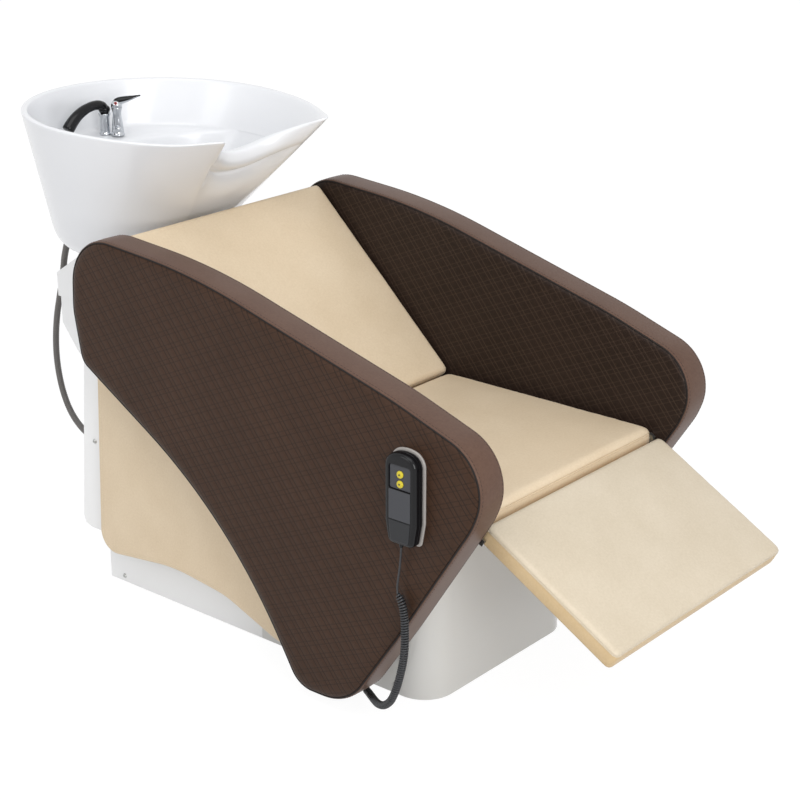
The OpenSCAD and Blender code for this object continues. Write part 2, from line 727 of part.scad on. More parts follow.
module actuator_housing() {
    color("dimgray") {
        difference() {
            translate([0, tube_front, rod_z]) rotate([-90, 0, 0]) cylinder(r = rod_r + rod_tube_t, h = tube_rear - tube_front);
            translate([0, tube_front - 1, rod_z]) rotate([-90, 0, 0]) cylinder(r = rod_r + 0.05, h = tube_rear - tube_front - 12);
        }
        box([-32, tube_rear, rod_z - 30], [32, tube_rear + 56, rod_z + 17]);
        box([-rail_x, tube_rear + 14, rod_z - 8], [rail_x, tube_rear + 34, rod_z + 10]);
        both() box([rail_x - 5, tube_rear + 14, rod_z], [rail_x, tube_rear + 34, rail_top - 4]);
    }
}

module actuator_motor() {
    color("dimgray") translate([0, tube_rear + 28, rod_z - 30 - gap]) mirror([0, 0, 1]) {
        cylinder(r = 27, h = 96);
        translate([0, 0, 96]) cylinder(r1 = 27, r2 = 22, h = 8);
    }
}

module actuator_rod() {
    head_low = rod_z - 22 - crank_pin_r;
    head_high = hinge_z - crank_r * cos((leg_down + leg_up) / 2) + crank_pin_r + 8;
    color("silver") difference() {
        union() {
            box([-11, crank_y - head_half, head_low], [11, crank_y + head_half, head_high]);
            translate([0, crank_y + head_half - 1, rod_z]) rotate([-90, 0, 0]) cylinder(r = rod_r, h = 190);
        }
        box([-12, crank_y - crank_pin_r - crank_gap, head_low + 7], [12, crank_y + crank_pin_r + crank_gap, head_high - 6]);
    }
}

module control_box() {
    color("dimgray") difference() {
        box([-150, 30, plate_t], [-60, 190, plate_t + 55]);
        box([-120, 182, plate_t + 14], [-92, 191, plate_t + 38]);
        box([-130, 29, plate_t + 20], [-116, 36, plate_t + 34]);
    }
}

// Shroud under the basin: a fixed lower part and a cap that tilts with the basin
shroud_rear = 705;
shroud_in = shroud_w / 2 - 3.5 - 3;
lower_side = [[cover_at(525) + gap, 525], [cover_at(270) + gap, 270], [655, 396], [shroud_rear - 4, 453],
    [shroud_rear - 4, 525]];
lower_inner = [[cover_at(530) - 2, 530], [cover_at(274) - 2, 274], [654, 400], [shroud_rear - 7, 454],
    [shroud_rear - 7, 530]];
upper_side = [[452, 512], [452, 640], [588, 640], [shroud_rear, 563], [shroud_rear, 512]];
upper_inner = [[455, 511], [455, 637], [587, 637], [shroud_rear - 3, 561], [shroud_rear - 3, 511]];

module lower_shroud() {
    color("whitesmoke") difference() {
        side_plate(lower_side, -shroud_in - 3, shroud_in + 3);
        side_plate(lower_inner, -shroud_in, shroud_in);
    }
}

module upper_shroud() {
    color("whitesmoke") difference() {
        side_plate(upper_side, -shroud_w / 2, shroud_w / 2);
        side_plate(upper_inner, -shroud_w / 2 + 3, shroud_w / 2 - 3);
        box([-62, 462, 630], [62, 580, 650]);
        box([-72, 450, 500], [72, 456, 527]);
    }
}

module basin_carrier() {
    x0 = ear_x + ear_t + 0.5;
    color("gray") difference() {
        union() {
            box([-60, 464, carrier_top - 5], [60, 578, carrier_top]);
            both() side_plate([[tilt_y - 18, tilt_z - 16], [tilt_y + 18, tilt_z - 16], [tilt_y + 34, carrier_top - 5],
                [tilt_y - 60, carrier_top - 5]], x0, x0 + ear_t);
        }
        translate([0, waste_y, carrier_top - 6]) cylinder(r = waste_r + 6, h = 8);
        rod_x(-60, 60, tilt_y, tilt_z, tilt_r + 0.05);
    }
}

module tilt_pin() {
    color("silver") rod_x(-ear_x - 2 * ear_t - 3, ear_x + 2 * ear_t + 3, tilt_y, tilt_z, tilt_r);
}

// Rim height round the basin; the horns lift a little at their tips
function rim_z(y) = rim_h + 0.037 * (y - rim_y) + 9 * min(1, max(0, (178 - y) / 50));
side_n = 34;
neck_n = 14;

// Height of the neck's lip between the horns, and of the rim at a place k round the basin
function neck_top(t) = lip_z + (rim_z(125) - lip_z) * pow(abs(t), 2.2);
function neck_t(k) = (k - side_n) / neck_n * 2 - 1;
function side_a(k, h, a) = let (phi = asin(h / a)) phi + (360 - 2 * phi) * k / side_n;
function top_at(k) = k > side_n
    ? neck_top(neck_t(k))
    : let (c = -cos(side_a(k, horn_x(rim_h), rim_a))) rim_z(rim_y + (c > 0 ? rim_rear : rim_front) * c);

// One point of a ring: k runs round the sides from one horn to the other, then back across the neck
function bowl_point(k, z, wall, cut, neck) =
    let (s = sect(z), a = s[0] - wall, r = min(s[2] - wall, cut - s[1]), f = s[3] - wall,
         h = horn_x(z) * a / s[0], p = side_a(k, h, a), c = -cos(p), t = neck_t(k), x = h * t,
         back = lookup((z - 686) / (top_at(k) - 686), neck) * (1 - pow(abs(t), 2.5)))
    k <= side_n
        ? [a * sin(p), s[1] + (c > 0 ? r : f) * c, z]
        : [x, s[1] - f * sqrt(1 - pow(x / a, 2)) + back, z];

// A ring at a share q of the way from the 686 level to the rim, or at a height z
function share(q, wall, neck, drop) = [for (k = [0:side_n + neck_n - 1])
    bowl_point(k, 686 + (top_at(k) - 686) * q - drop, wall, 2000, neck)];
function level(z, wall, cut, neck) = [for (k = [0:side_n + neck_n - 1]) bowl_point(k, z, wall, cut, neck)];

module basin_body() {
    deck = [[0, 0], [10, 1], [34, 3], [66, 8], [100, 16], [130, 26], [152, 40], [168, 54], [deck_z - bowl_floor, 74]];
    skin(concat(
        [for (b = bowl_base) level(b[0], 0, 2000, neck_out)],
        [for (q = [0.18, 0.33, 0.44, 0.54, 0.66, 0.76, 0.79, 0.83, 0.87, 0.92, 0.97]) share(q, 0, neck_out, 0)],
        [share(1, 1.2, neck_out, 1.6), share(1, bowl_t * 0.35, neck_out, 0.3), share(1, bowl_t * 0.65, neck_in, 0.3)],
        [share(1, bowl_t - 1.2, neck_in, 1.6), share(0.96, bowl_t, neck_in, 0), share(0.88, bowl_t, neck_in, 0)],
        [level(deck_z + 0.5, bowl_t, 2000, neck_in)],
        [for (i = [0:len(deck) - 1]) level(deck_z - deck[i][0], bowl_t + deck[i][1], deck_y - i * 2, neck_in)]
    ));
}

// The space left under the tap deck, which keeps the fireclay at an even thickness
module deck_hollow() {
    intersection() {
        skin([for (z = [655, 666, 686, 760, deck_z - bowl_t]) level(z, bowl_t, 2000, neck_out)]);
        box([-200, deck_y + bowl_t + 4, 600], [200, 800, 900]);
    }
    box([-50, deck_y + bowl_t - 5, 630], [50, deck_y + bowl_t + 13, 670]);
}

module basin() {
    color("white") difference() {
        basin_body();
        deck_hollow();
        translate([holder_at[0], holder_at[1], deck_z - 30]) cylinder(r = 8, h = 40);
        translate([0, waste_y, 600]) cylinder(r = waste_r, h = 100);
        translate([0, waste_y, bowl_floor - 5]) cylinder(r = waste_r + 9, h = 30);
    }
}

module basin_waste() {
    color("silver") translate([0, waste_y, 0]) difference() {
        union() {
            translate([0, 0, bowl_floor - 5 + gap]) cylinder(r = waste_r + 8, h = 4);
            translate([0, 0, 606]) cylinder(r = waste_r - 1, h = bowl_floor - 607);
            translate([0, 0, 590]) cylinder(r = 16, h = 18);
            translate([0, 0, 628]) cylinder(r = waste_r + 5, h = 8);
        }
        translate([0, 0, 580]) cylinder(r = 13, h = 120);
        translate([0, 0, bowl_floor - 30]) cylinder(r = waste_r - 4, h = 40);
    }
}

module strainer() {
    color("silver") translate([0, waste_y, bowl_floor - 1 + gap * 2]) difference() {
        union() {
            cylinder(r = waste_r + 3, h = 2);
            translate([0, 0, -14]) cylinder(r = waste_r - 5, h = 15);
            cylinder(r = 4, h = 9);
        }
        for (a = [0:45:315]) rotate(a) translate([10, 0, -20]) cylinder(r = 2.6, h = 30, $fn = 16);
    }
}

module hose_tube(route, r, n) {
    p = smooth(route);
    skin([for (i = [0:len(p) - 1]) ring(p[i], dir(p, i), r, n)]);
}

module waste_hose() { color("lightgray") hose_tube(waste_route, 15, 10); }

module waste_outlet() {
    r = waste_pipe_d / 2;
    color("lightgray") translate([-80, service_y, 10]) difference() {
        union() {
            cylinder(r = r, h = 28);
            translate([0, 0, 28]) cylinder(r = r + 2, h = 30);
            translate([0, 0, bracket_z - 10 + 5 + gap]) cylinder(r = r + 7, h = 10);
            translate([0, 0, 58]) cylinder(r = r - 1, h = 10);
            translate([0, 0, 68]) cylinder(r1 = r - 1, r2 = 17, h = 18);
        }
        translate([0, 0, -1]) cylinder(r = r - 3, h = 68);
        translate([0, 0, 60]) cylinder(r = 13, h = 30);
    }
}

module water_inlets() {
    color("silver") for (x = [30, 90]) translate([x, service_y, 12]) difference() {
        union() {
            cylinder(r = inlet_d / 2, h = 26);
            translate([0, 0, 26]) cylinder(r = inlet_d / 2 + 1, h = 12);
            translate([0, 0, bracket_z - 12 + 5 + gap]) cylinder(r = 15, h = 12, $fn = 6);
            translate([0, 0, 36]) cylinder(r = 9, h = 30);
        }
        translate([0, 0, -1]) cylinder(r = 6, h = 60);
    }
}

module tap_body() {
    color("silver") translate(tap_at) {
        cylinder(r1 = tap_r + 1.5, r2 = tap_r + 0.5, h = 4);
        translate([0, 0, 4]) cylinder(r1 = tap_r, r2 = tap_r - 4, h = 40);
        translate([0, 0, 44]) cylinder(r1 = tap_r - 4, r2 = tap_r - 1, h = 14);
        translate([0, 0, 16]) rotate([0, 90, -128]) cylinder(r1 = 7, r2 = 5, h = tap_r + 12);
    }
}

// The cap turns on the body, and the lever rocks in the cap's slot
lever_turn = -42;
lever_z = 58 + gap + 10;

module tap_cap() {
    color("silver") translate(tap_at + [0, 0, 58 + gap]) rotate(lever_turn) difference() {
        union() {
            cylinder(r = tap_r - 1, h = 6);
            translate([0, 0, 6]) cylinder(r1 = tap_r - 1, r2 = tap_r - 6, h = 8);
        }
        box([-6, -5.4, 3.5], [20, 5.4, 20]);
    }
}

module tap_lever() {
    color("black") translate(tap_at + [0, 0, lever_z]) rotate(lever_turn) {
        rotate([90, 0, 0]) cylinder(r = 5, h = 10, center = true);
        skin([for (k = [[2, 4.6, 1, 3.6], [14, 4.8, 2.5, 3.5], [17, 7, 3.5, 3.4], [28, 7.5, 6, 3.2], [44, 5.5, 11, 2.4],
            [58, 2.5, 15, 1.4]]) [for (a = [0:45:315]) [k[0], k[1] * cos(a), k[2] + k[3] * sin(a)]]]);
    }
}

module shower_holder() {
    color("silver") translate(holder_at) difference() {
        union() {
            cylinder(r = 12.5, h = 4);
            cylinder(r1 = 11, r2 = 10, h = 36);
            translate([0, 0, 36]) cylinder(r1 = 10, r2 = 13, h = 8);
        }
        translate([0, 0, -1]) cylinder(r = 7, h = 60);
    }
}

// Hand shower: a swivel knob with a curved handle that widens to the spray head
shower_curve = [
    [2, 0, 8, 9.5], [-4, 0, 15, 10.5], [-14, 0, 19, 10.5], [-27, 0, 20, 10], [-52, 0, 15, 10.5], [-73, 0, 5, 11.5],
    [-90, 0, -9, 12.5], [-99, 0, -19, 13]
];

module hand_shower() {
    p = [for (c = shower_curve) [c[0], c[1], c[2]]];
    color("black") translate(holder_at + [0, 0, 44 + gap]) {
        translate([0, 0, -14]) cylinder(r = 6.5, h = 20);
        cylinder(r1 = 9, r2 = 12, h = 8);
        translate([0, 0, 8]) cylinder(r1 = 12, r2 = 6, h = 9);
        skin([for (i = [0:len(p) - 1]) ring(p[i], dir(p, i), shower_curve[i][3], 12)]);
    }
}

module shower_hose() {
    l = lengths(hose_route);
    n = hose_ribs * 2;
    total = l[len(l) - 1];
    color("gray") difference() {
        skin([for (i = [0:n]) let (s = total * i / n, d = unit(along(hose_route, l, min(total, s + 8)) - along(hose_route, l, max(0, s - 8))))
            ring(along(hose_route, l, s), i == 0 ? [0, 0, -1] : i == n ? [0, -1, 0] : d,
                hose_d / 2 - (i % 2 == 0 || s < hose_d || s > total - hose_d ? 0.9 : 0), 8)]);
        hose_tube(hose_route, hose_d / 2 - 3, 6);
    }
}

hose_in = hose_route[len(hose_route) - 1];

module hose_grommet() {
    color("black") hose_port() difference() {
        union() {
            translate([0, 0, -shell_t - 2]) cylinder(r = hose_d / 2 + 4, h = shell_t + 3);
            translate([0, 0, gap]) cylinder(r = hose_d / 2 + 7, h = 3);
        }
        translate([0, 0, -10]) cylinder(r = hose_d / 2 + 0.3, h = 20);
    }
}

// Handset: a casing with rounded ends, a keypad, two buttons, its holder and its cord
remote_r = remote_w / 2;

module remote_plan(d) {
    x = remote_w / 2 - d;
    translate([0, remote_h - remote_r]) circle(r = x);
    translate([-x, 20]) square([2 * x, remote_h - remote_r - 20]);
    polygon([[-x, 21], [-x * 0.82, d], [x * 0.82, d], [x, 21]]);
}

// Places its children on the arm's face: x runs to the front, y up, z out of the face
module remote_space() {
    translate([remote_x, remote_y, remote_low]) rotate([90, 0, -90]) children();
}

module remote_holder() {
    color("lightgray") remote_space() translate([0, 0, 0.2]) linear_extrude(holder_t - 0.5) remote_plan(-3);
}

key_y = 117;

module remote_casing() {
    color("black") remote_space() difference() {
        union() {
            translate([0, 0, holder_t]) linear_extrude(remote_t - 3) remote_plan(0);
            translate([0, 0, holder_t + remote_t - 3]) linear_extrude(3) remote_plan(3);
            translate([-6, 3, holder_t + 9]) rotate([90, 0, 0]) cylinder(r = 4.2, h = 11);
        }
        translate([-remote_w / 2 + 6, 42, holder_t + remote_t - 4]) cube([remote_w - 12, 98, 6]);
        for (b = [-8.5, 8.5]) translate([0, key_y + b, holder_t + 7]) cylinder(r = button_d / 2 + 0.3, h = 30);
    }
}

module remote_keypad() {
    color("dimgray") remote_space() difference() {
        translate([-remote_w / 2 + 6 + gap, 42 + gap, holder_t + remote_t - 4 + gap])
            cube([remote_w - 12 - 2 * gap, 98 - 2 * gap, 2.5]);
        for (b = [-8.5, 8.5]) translate([0, key_y + b, holder_t]) cylinder(r = button_d / 2 + 0.3, h = 40);
    }
}

module button(b) {
    color("gold") remote_space() translate([0, key_y + b, holder_t + 12]) {
        cylinder(r = button_d / 2, h = remote_t - 11.5);
    }
}

module button_up() { button(8.5); }
module button_down() { button(-8.5); }

function curl_point(l, total, s) =
    let (p = along(curl_route, l, s), d = unit(along(curl_route, l, min(total, s + 6)) - along(curl_route, l, max(0, s - 6))),
         f = frame_x(d), a = 360 * curls * s / total, r = (curl_d - cord_d) / 2 * min(1, s / 12, (total - s) / 12))
    p + r * (cos(a) * f[0] + sin(a) * f[1]);
function frame_x(d) = let (n = unit(cross(d, [1, 0, 0]))) [n, cross(d, n)];

module remote_cord() {
    l = lengths(curl_route);
    total = l[len(l) - 1];
    n = curls * 8;
    coil = [for (i = [1:n - 1]) curl_point(l, total, total * i / n)];
    path = concat(smooth(lead_route), coil, smooth(tail_route));
    m = len(path) - 1;
    echo("least gap in the cord", min([for (i = [0:m - 6]) min([for (j = [i + 6:m]) norm(path[i] - path[j])])]) - cord_d);
    color("black") skin([for (i = [0:len(path) - 1]) let (d = dir(path, i), f = frame_x2(d))
        [for (j = [0:5]) path[i] + cord_d / 2 * (cos(60 * j) * f[0] + sin(60 * j) * f[1])]]);
}
function frame_x2(d) = let (n = unit(cross(d, [0.2, 0.97, 0.14]))) [n, cross(d, n)];

module cord_gland() {
    color("black") translate([-base_half - 10, cord_gland_y, cord_gland_z]) rotate([0, 90, 0]) difference() {
        union() {
            cylinder(r = 9, h = 10 - gap);
            cylinder(r = 6, h = 10 + shell_t + 3);
        }
        translate([0, 0, -1]) cylinder(r = cord_d / 2 + 0.2, h = 30);
    }
}

floor_plate();
service_bracket();
frame_uprights();
frame_rails();
frame_bars();
basin_post();
rear_base_panel();
front_apron();
base_screws();
rear_cover();
side_panel_right();
side_panel_left();
arm_spacers();
arm_board_right();
arm_band_right();
arm_outer_pad_right();
arm_inner_pad_right();
arm_board_left();
arm_band_left();
arm_outer_pad_left();
arm_inner_pad_left();
seat_board();
seat_cushion();
back_board();
back_cushion();
hinge_plates();
hinge_pins();
leg_rest_brackets();
leg_rest_board();
leg_rest_cushion();
leg_rest_crank();
actuator_housing();
actuator_motor();
actuator_rod();
control_box();
lower_shroud();
upper_shroud();
basin_carrier();
tilt_pin();
basin();
basin_waste();
strainer();
waste_hose();
waste_outlet();
water_inlets();
tap_body();
tap_cap();
tap_lever();
shower_holder();
hand_shower();
shower_hose();
hose_grommet();
remote_holder();
remote_casing();
remote_keypad();
button_up();
button_down();
remote_cord();
cord_gland();
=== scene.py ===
# Salon wash unit: its looks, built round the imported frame.
# The frame is in metres and the plans below are in millimetres, unless a line says otherwise.
# +Z is up, the sitter faces -Y, and the handset hangs on the arm at -X.
import json
import math
import bmesh
import bpy
from mathutils import Matrix, Vector, noise
from mathutils.geometry import delaunay_2d_cdt


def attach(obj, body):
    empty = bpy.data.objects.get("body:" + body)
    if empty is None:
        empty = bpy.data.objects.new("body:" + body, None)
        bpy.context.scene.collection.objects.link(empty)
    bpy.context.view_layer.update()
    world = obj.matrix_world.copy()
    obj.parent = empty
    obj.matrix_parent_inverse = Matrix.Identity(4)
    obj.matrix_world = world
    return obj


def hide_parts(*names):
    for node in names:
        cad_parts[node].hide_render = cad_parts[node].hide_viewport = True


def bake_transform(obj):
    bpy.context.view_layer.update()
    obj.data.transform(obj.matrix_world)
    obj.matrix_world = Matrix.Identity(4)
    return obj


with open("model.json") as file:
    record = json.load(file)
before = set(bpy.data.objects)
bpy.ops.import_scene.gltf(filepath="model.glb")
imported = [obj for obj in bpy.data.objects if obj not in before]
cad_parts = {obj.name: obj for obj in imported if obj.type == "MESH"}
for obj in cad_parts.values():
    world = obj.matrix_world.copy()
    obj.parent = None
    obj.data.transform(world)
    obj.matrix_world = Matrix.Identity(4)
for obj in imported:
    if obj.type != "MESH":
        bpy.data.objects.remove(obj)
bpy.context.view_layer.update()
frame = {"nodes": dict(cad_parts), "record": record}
mm = 0.001
print("frame loaded")


# Small helpers

def toLinear(channel):
    return channel / 12.92 if channel <= 0.04045 else ((channel + 0.055) / 1.055) ** 2.4


def hexColour(code):
    # sRGB hex to a linear colour
    return tuple(toLinear(int(code[i:i + 2], 16) / 255) for i in (0, 2, 4)) + (1.0,)


def addNode(tree, kind, settings=None, links=None, stops=()):
    # One node; a setting is a socket's name or number, or a property, and a link starts at a socket
    # or at a node's first output
    node = tree.nodes.new("ShaderNode" + kind)
    for name, value in (settings or {}).items():
        if isinstance(name, int) or name in node.inputs:
            node.inputs[name].default_value = value
        else:
            setattr(node, name, value)
    for name, source in (links or {}).items():
        tree.links.new(source if isinstance(source, bpy.types.NodeSocket) else source.outputs[0],
                       node.inputs[name])
    for i, (position, colour) in enumerate(stops):
        node.color_ramp.elements[i].position = position
        node.color_ramp.elements[i].color = colour
    return node


def emptyTree(owner):
    # The cleared node tree of a material or a world
    owner.use_nodes = True
    owner.node_tree.nodes.clear()
    return owner.node_tree


def newSurface(name, settings):
    # A material with a principled shader set on its own sockets, and the surface's place in metres,
    # carried with the piece
    material = bpy.data.materials.new(name)
    tree = emptyTree(material)
    shader = addNode(tree, "BsdfPrincipled", settings)
    addNode(tree, "OutputMaterial", links={"Surface": shader})
    return material, tree, shader, addNode(tree, "TexCoord").outputs["Object"]


def inMetres(point):
    return tuple(c * mm for c in point)


def addObject(name, data):
    thing = bpy.data.objects.new(name, data)
    bpy.context.scene.collection.objects.link(thing)
    return thing


def piece(name, points, faces, finish, body, slot=None, smooth=True):
    # A mesh riding on a body; a cord has none
    mesh = bpy.data.meshes.new(name)
    mesh.from_pydata([inMetres(p) for p in points], [], faces)
    mesh.validate()
    for polygon in mesh.polygons:
        polygon.use_smooth = smooth
    thing = addObject(name, mesh)
    thing.data.materials.append(finishes[finish])
    if body:
        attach(thing, body)
    return thing


def filled(ring, inner):
    # Triangles over an outline and the loose points inside it, numbered as ring + inner
    edges = [(i, (i + 1) % len(ring)) for i in range(len(ring))]
    made = delaunay_2d_cdt(list(ring) + list(inner), edges, [], 1, 0.0001)
    return [tuple(made[3][i][0] for i in face) for face in made[2]]


def rowsInside(outline, steps, margin):
    # Loose points inside an outline: (across, up) at the levels given for each direction
    found = []
    ups = [p.y for p in outline]
    for y in steps(min(ups), max(ups)):
        cuts = []
        for a, b in zip(outline, outline[1:] + outline[:1]):
            if (a.y - y) * (b.y - y) < 0:
                cuts.append(a.x + (y - a.y) / (b.y - a.y) * (b.x - a.x))
        cuts.sort()
        for low, high in zip(cuts[::2], cuts[1::2]):
            found += [Vector((x, y)) for x in steps(low, high) if low + margin < x < high - margin]
    return found


def everyStep(size):
    return lambda low, high: [k * size for k in range(math.ceil(low / size), math.floor(high / size) + 1)]


def skin(rings, capped=True):
    # Points and faces over rings of equal length
    count = len(rings[0])
    points = [tuple(p) for ring in rings for p in ring]
    faces = []
    for k in range(len(rings) - 1):
        for i in range(count):
            j = (i + 1) % count
            faces.append((k * count + i, k * count + j, (k + 1) * count + j, (k + 1) * count + i))
    if capped:
        faces += [tuple(reversed(range(count))), tuple((len(rings) - 1) * count + i for i in range(count))]
    return points, faces


def joined(parts):
    # Several sets of points and faces as one
    points, faces = [], []
    for morePoints, moreFaces in parts:
        base = len(points)
        points += morePoints
        faces += [tuple(base + i for i in face) for face in moreFaces]
    return points, faces


def tidyNormals(thing, weldMm=0):
    work = bmesh.new()
    work.from_mesh(thing.data)
    if weldMm:
        bmesh.ops.remove_doubles(work, verts=work.verts, dist=weldMm * mm)
    bmesh.ops.recalc_face_normals(work, faces=work.faces)
    work.to_mesh(thing.data)
    work.free()
    return thing


def standIn(name, parts, finish, body, slot, node, weldMm=0):
    # A piece in place of its CAD node
    thing = tidyNormals(piece(name, *parts, finish, body, slot), weldMm)
    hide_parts(node)
    return thing


def cover(*details):
    # A sewn and padded cover in place of its CAD node
    thing = standIn(*details, weldMm=0.01)
    return thing


def subdivide(thing, levels=2):
    modifier = thing.modifiers.new("roundness", "SUBSURF")
    modifier.levels = modifier.render_levels = levels
    return thing


def cornerArc(before, corner, after, radius, steps):
    p, q, r = Vector(before[:2]), Vector(corner[:2]), Vector(after[:2])
    u, v = (p - q).normalized(), (r - q).normalized()
    half = u.angle(v) / 2
    centre = q + (u + v).normalized() * radius / math.sin(half)
    start = q + u * radius / math.tan(half) - centre
    end = q + v * radius / math.tan(half) - centre
    turn = math.atan2(start.x * end.y - start.y * end.x, start.dot(end))
    first = math.atan2(start.y, start.x)
    return [centre + radius * Vector((math.cos(first + turn * i / steps), math.sin(first + turn * i / steps)))
            for i in range(steps + 1)]


def roundedOutline(corners, steps):
    # Anticlockwise outline whose corners are (across, up, radius)
    count = len(corners)
    return [p for i in range(count)
            for p in cornerArc(corners[i - 1], corners[i], corners[(i + 1) % count], corners[i][2], steps)]


def evenly(points, step, closed=True):
    # The same line with points an even step apart
    line = [Vector(p) for p in points] + ([Vector(points[0])] if closed else [])
    lengths = [0.0]
    for a, b in zip(line, line[1:]):
        lengths.append(lengths[-1] + (b - a).length)
    count = max(3, round(lengths[-1] / step))
    result, k = [], 0
    for i in range(count if closed else count + 1):
        s = lengths[-1] * i / count
        while k < len(line) - 2 and lengths[k + 1] < s:
            k += 1
        span = lengths[k + 1] - lengths[k]
        result.append(line[k].lerp(line[k + 1], (s - lengths[k]) / span if span > 0 else 0))
    return result


def inset(points, distance):
    # Moves each point of an anticlockwise outline inwards
    count = len(points)
    moved = []
    for i in range(count):
        t = (points[(i + 1) % count] - points[i - 1]).normalized()
        moved.append(points[i] + distance * Vector((-t.y, t.x)))
    return moved


def route(points, step, rounds=2):
    # A listed route made smooth, with points an even step apart
    points = [Vector(p) for p in points]
    for _ in range(rounds):
        middle = []
        for a, b in zip(points, points[1:]):
            middle += [a.lerp(b, 0.25), a.lerp(b, 0.75)]
        points = [points[0]] + middle + [points[-1]]
    return evenly(points, step, closed=False)


def carriedFrames(points):
    # A pair of cross directions at each point, carried along the line without twisting
    frames, side = [], None
    for i in range(len(points)):
        d = (points[min(i + 1, len(points) - 1)] - points[max(i - 1, 0)]).normalized()
        if side is None:
            side = d.cross(Vector((0, 0, 1)) if abs(d.z) < 0.9 else Vector((1, 0, 0))).normalized()
        side = (side - d * side.dot(d)).normalized()
        frames.append((side, d.cross(side)))
    return frames


def circle(count):
    # Cosine and sine of even steps round a circle
    return [(math.cos(math.tau * k / count), math.sin(math.tau * k / count)) for k in range(count)]


def sweep(points, radii, sides):
    # Tube round a line
    return skin([[p + r * (c * u + s * v) for c, s in circle(sides)]
                 for p, (u, v), r in zip(points, carriedFrames(points), radii)])


def lathe(profile, sides):
    # Profile of (radius, height) turned about Z
    return skin([[(r * c, r * s, z) for c, s in circle(sides)] for r, z in profile])


# Camera, floor and light

cameraPlan = {
    "lens": 84.24, "sensor": 36.0,      # the photo was taken from some way off
    "at": (-2.5047, -2.2677, 1.676),    # metres
    "looks": (0.7188, 0.6020, -0.3478),
}

studioPlan = {
    "worldLevel": 0.60,                 # what the white room gives the object
    "floorHalf": 30.0, "floorDown": 0.0006,     # metres; just clear of the unit's foot
    "floorShare": 0.93, "floorAlbedo": 0.14,
    "lamps": {                          # place, aimed at, width, height (metres), watts
        "topSoftbox": ((-1.2, -0.6, 3.2), (0.0, 0.0, 0.5), 2.6, 2.2, 32),
        "frontSoftbox": ((-1.6, -3.4, 1.7), (0.0, -0.2, 0.4), 1.6, 1.8, 58),
        "sideSoftbox": ((-3.4, 0.9, 1.6), (0.0, 0.2, 0.5), 1.4, 1.8, 14),
    },
}


def aim(thing, at, direction):
    # Stands a camera or a lamp in its place, facing along a direction
    thing.location = at
    thing.rotation_mode = "QUATERNION"
    thing.rotation_quaternion = Vector(direction).to_track_quat("-Z", "Y")


def makeCamera(plan):
    data = bpy.data.cameras.new("photoCamera")
    data.lens = plan["lens"]
    data.sensor_width = plan["sensor"]
    camera = addObject("photoCamera", data)
    aim(camera, plan["at"], plan["looks"])
    bpy.context.scene.camera = camera
    bpy.context.scene.view_settings.view_transform = "Standard"


def seenRays(tree):
    # 1 for what the camera sees, directly or in a mirror or through glass
    path = addNode(tree, "LightPath")
    seen = path.outputs["Is Camera Ray"]
    for ray in ("Is Glossy Ray", "Is Transmission Ray"):
        seen = addNode(tree, "Math", {"operation": "MAXIMUM"}, {0: seen, 1: path.outputs[ray]})
    return seen


def makeStudio(plan):
    world = bpy.data.worlds.new("whiteRoom")
    bpy.context.scene.world = world
    tree = emptyTree(world)
    seen = addNode(tree, "Background", {"Color": (1, 1, 1, 1), "Strength": 1.0})
    lit = addNode(tree, "Background", {"Color": hexColour("fbfcff"), "Strength": plan["worldLevel"]})
    mixed = addNode(tree, "MixShader", links={0: seenRays(tree), 1: lit, 2: seen})
    addNode(tree, "OutputWorld", links={"Surface": mixed})

    material = bpy.data.materials.new("paleFloor")
    tree = emptyTree(material)
    plain = addNode(tree, "BsdfDiffuse", {"Color": hexColour("e4e4e4")})
    faint = addNode(tree, "BsdfDiffuse", {"Color": (plan["floorAlbedo"],) * 3 + (1,)})
    glow = addNode(tree, "Emission", {"Color": (1, 1, 1, 1), "Strength": plan["floorShare"]})
    both = addNode(tree, "AddShader", links={0: glow, 1: faint})
    mixed = addNode(tree, "MixShader", links={0: seenRays(tree), 1: plain, 2: both})
    addNode(tree, "OutputMaterial", links={"Surface": mixed})
    h = plan["floorHalf"]
    mesh = bpy.data.meshes.new("studioFloor")
    mesh.from_pydata([(x, y, -plan["floorDown"]) for x, y in ((-h, -h), (h, -h), (h, h), (-h, h))], [],
                     [(0, 1, 2, 3)])
    floor = addObject("studioFloor", mesh)
    floor.data.materials.append(material)

    for name, (at, target, width, height, watts) in plan["lamps"].items():
        data = bpy.data.lights.new(name, "AREA")
        data.shape = "RECTANGLE"
        data.size, data.size_y = width, height
        data.energy = watts
        aim(addObject(name, data), at, Vector(target) - Vector(at))


makeCamera(cameraPlan)
makeStudio(studioPlan)
print("camera and studio made")


# Materials

def bumped(tree, shader, height, strength, depthMm):
    bump = addNode(tree, "Bump", {"Strength": strength, "Distance": depthMm * mm}, {"Height": height})
    tree.links.new(bump.outputs[0], shader.inputs["Normal"])


def relief(tree, shader, at, sizeMm, detail, strength, depthMm):
    # Noise of a real size, raised over the surface
    waves = addNode(tree, "TexNoise", {"Scale": 1 / (sizeMm * mm), "Detail": detail}, {"Vector": at})
    bumped(tree, shader, waves, strength, depthMm)
    return waves


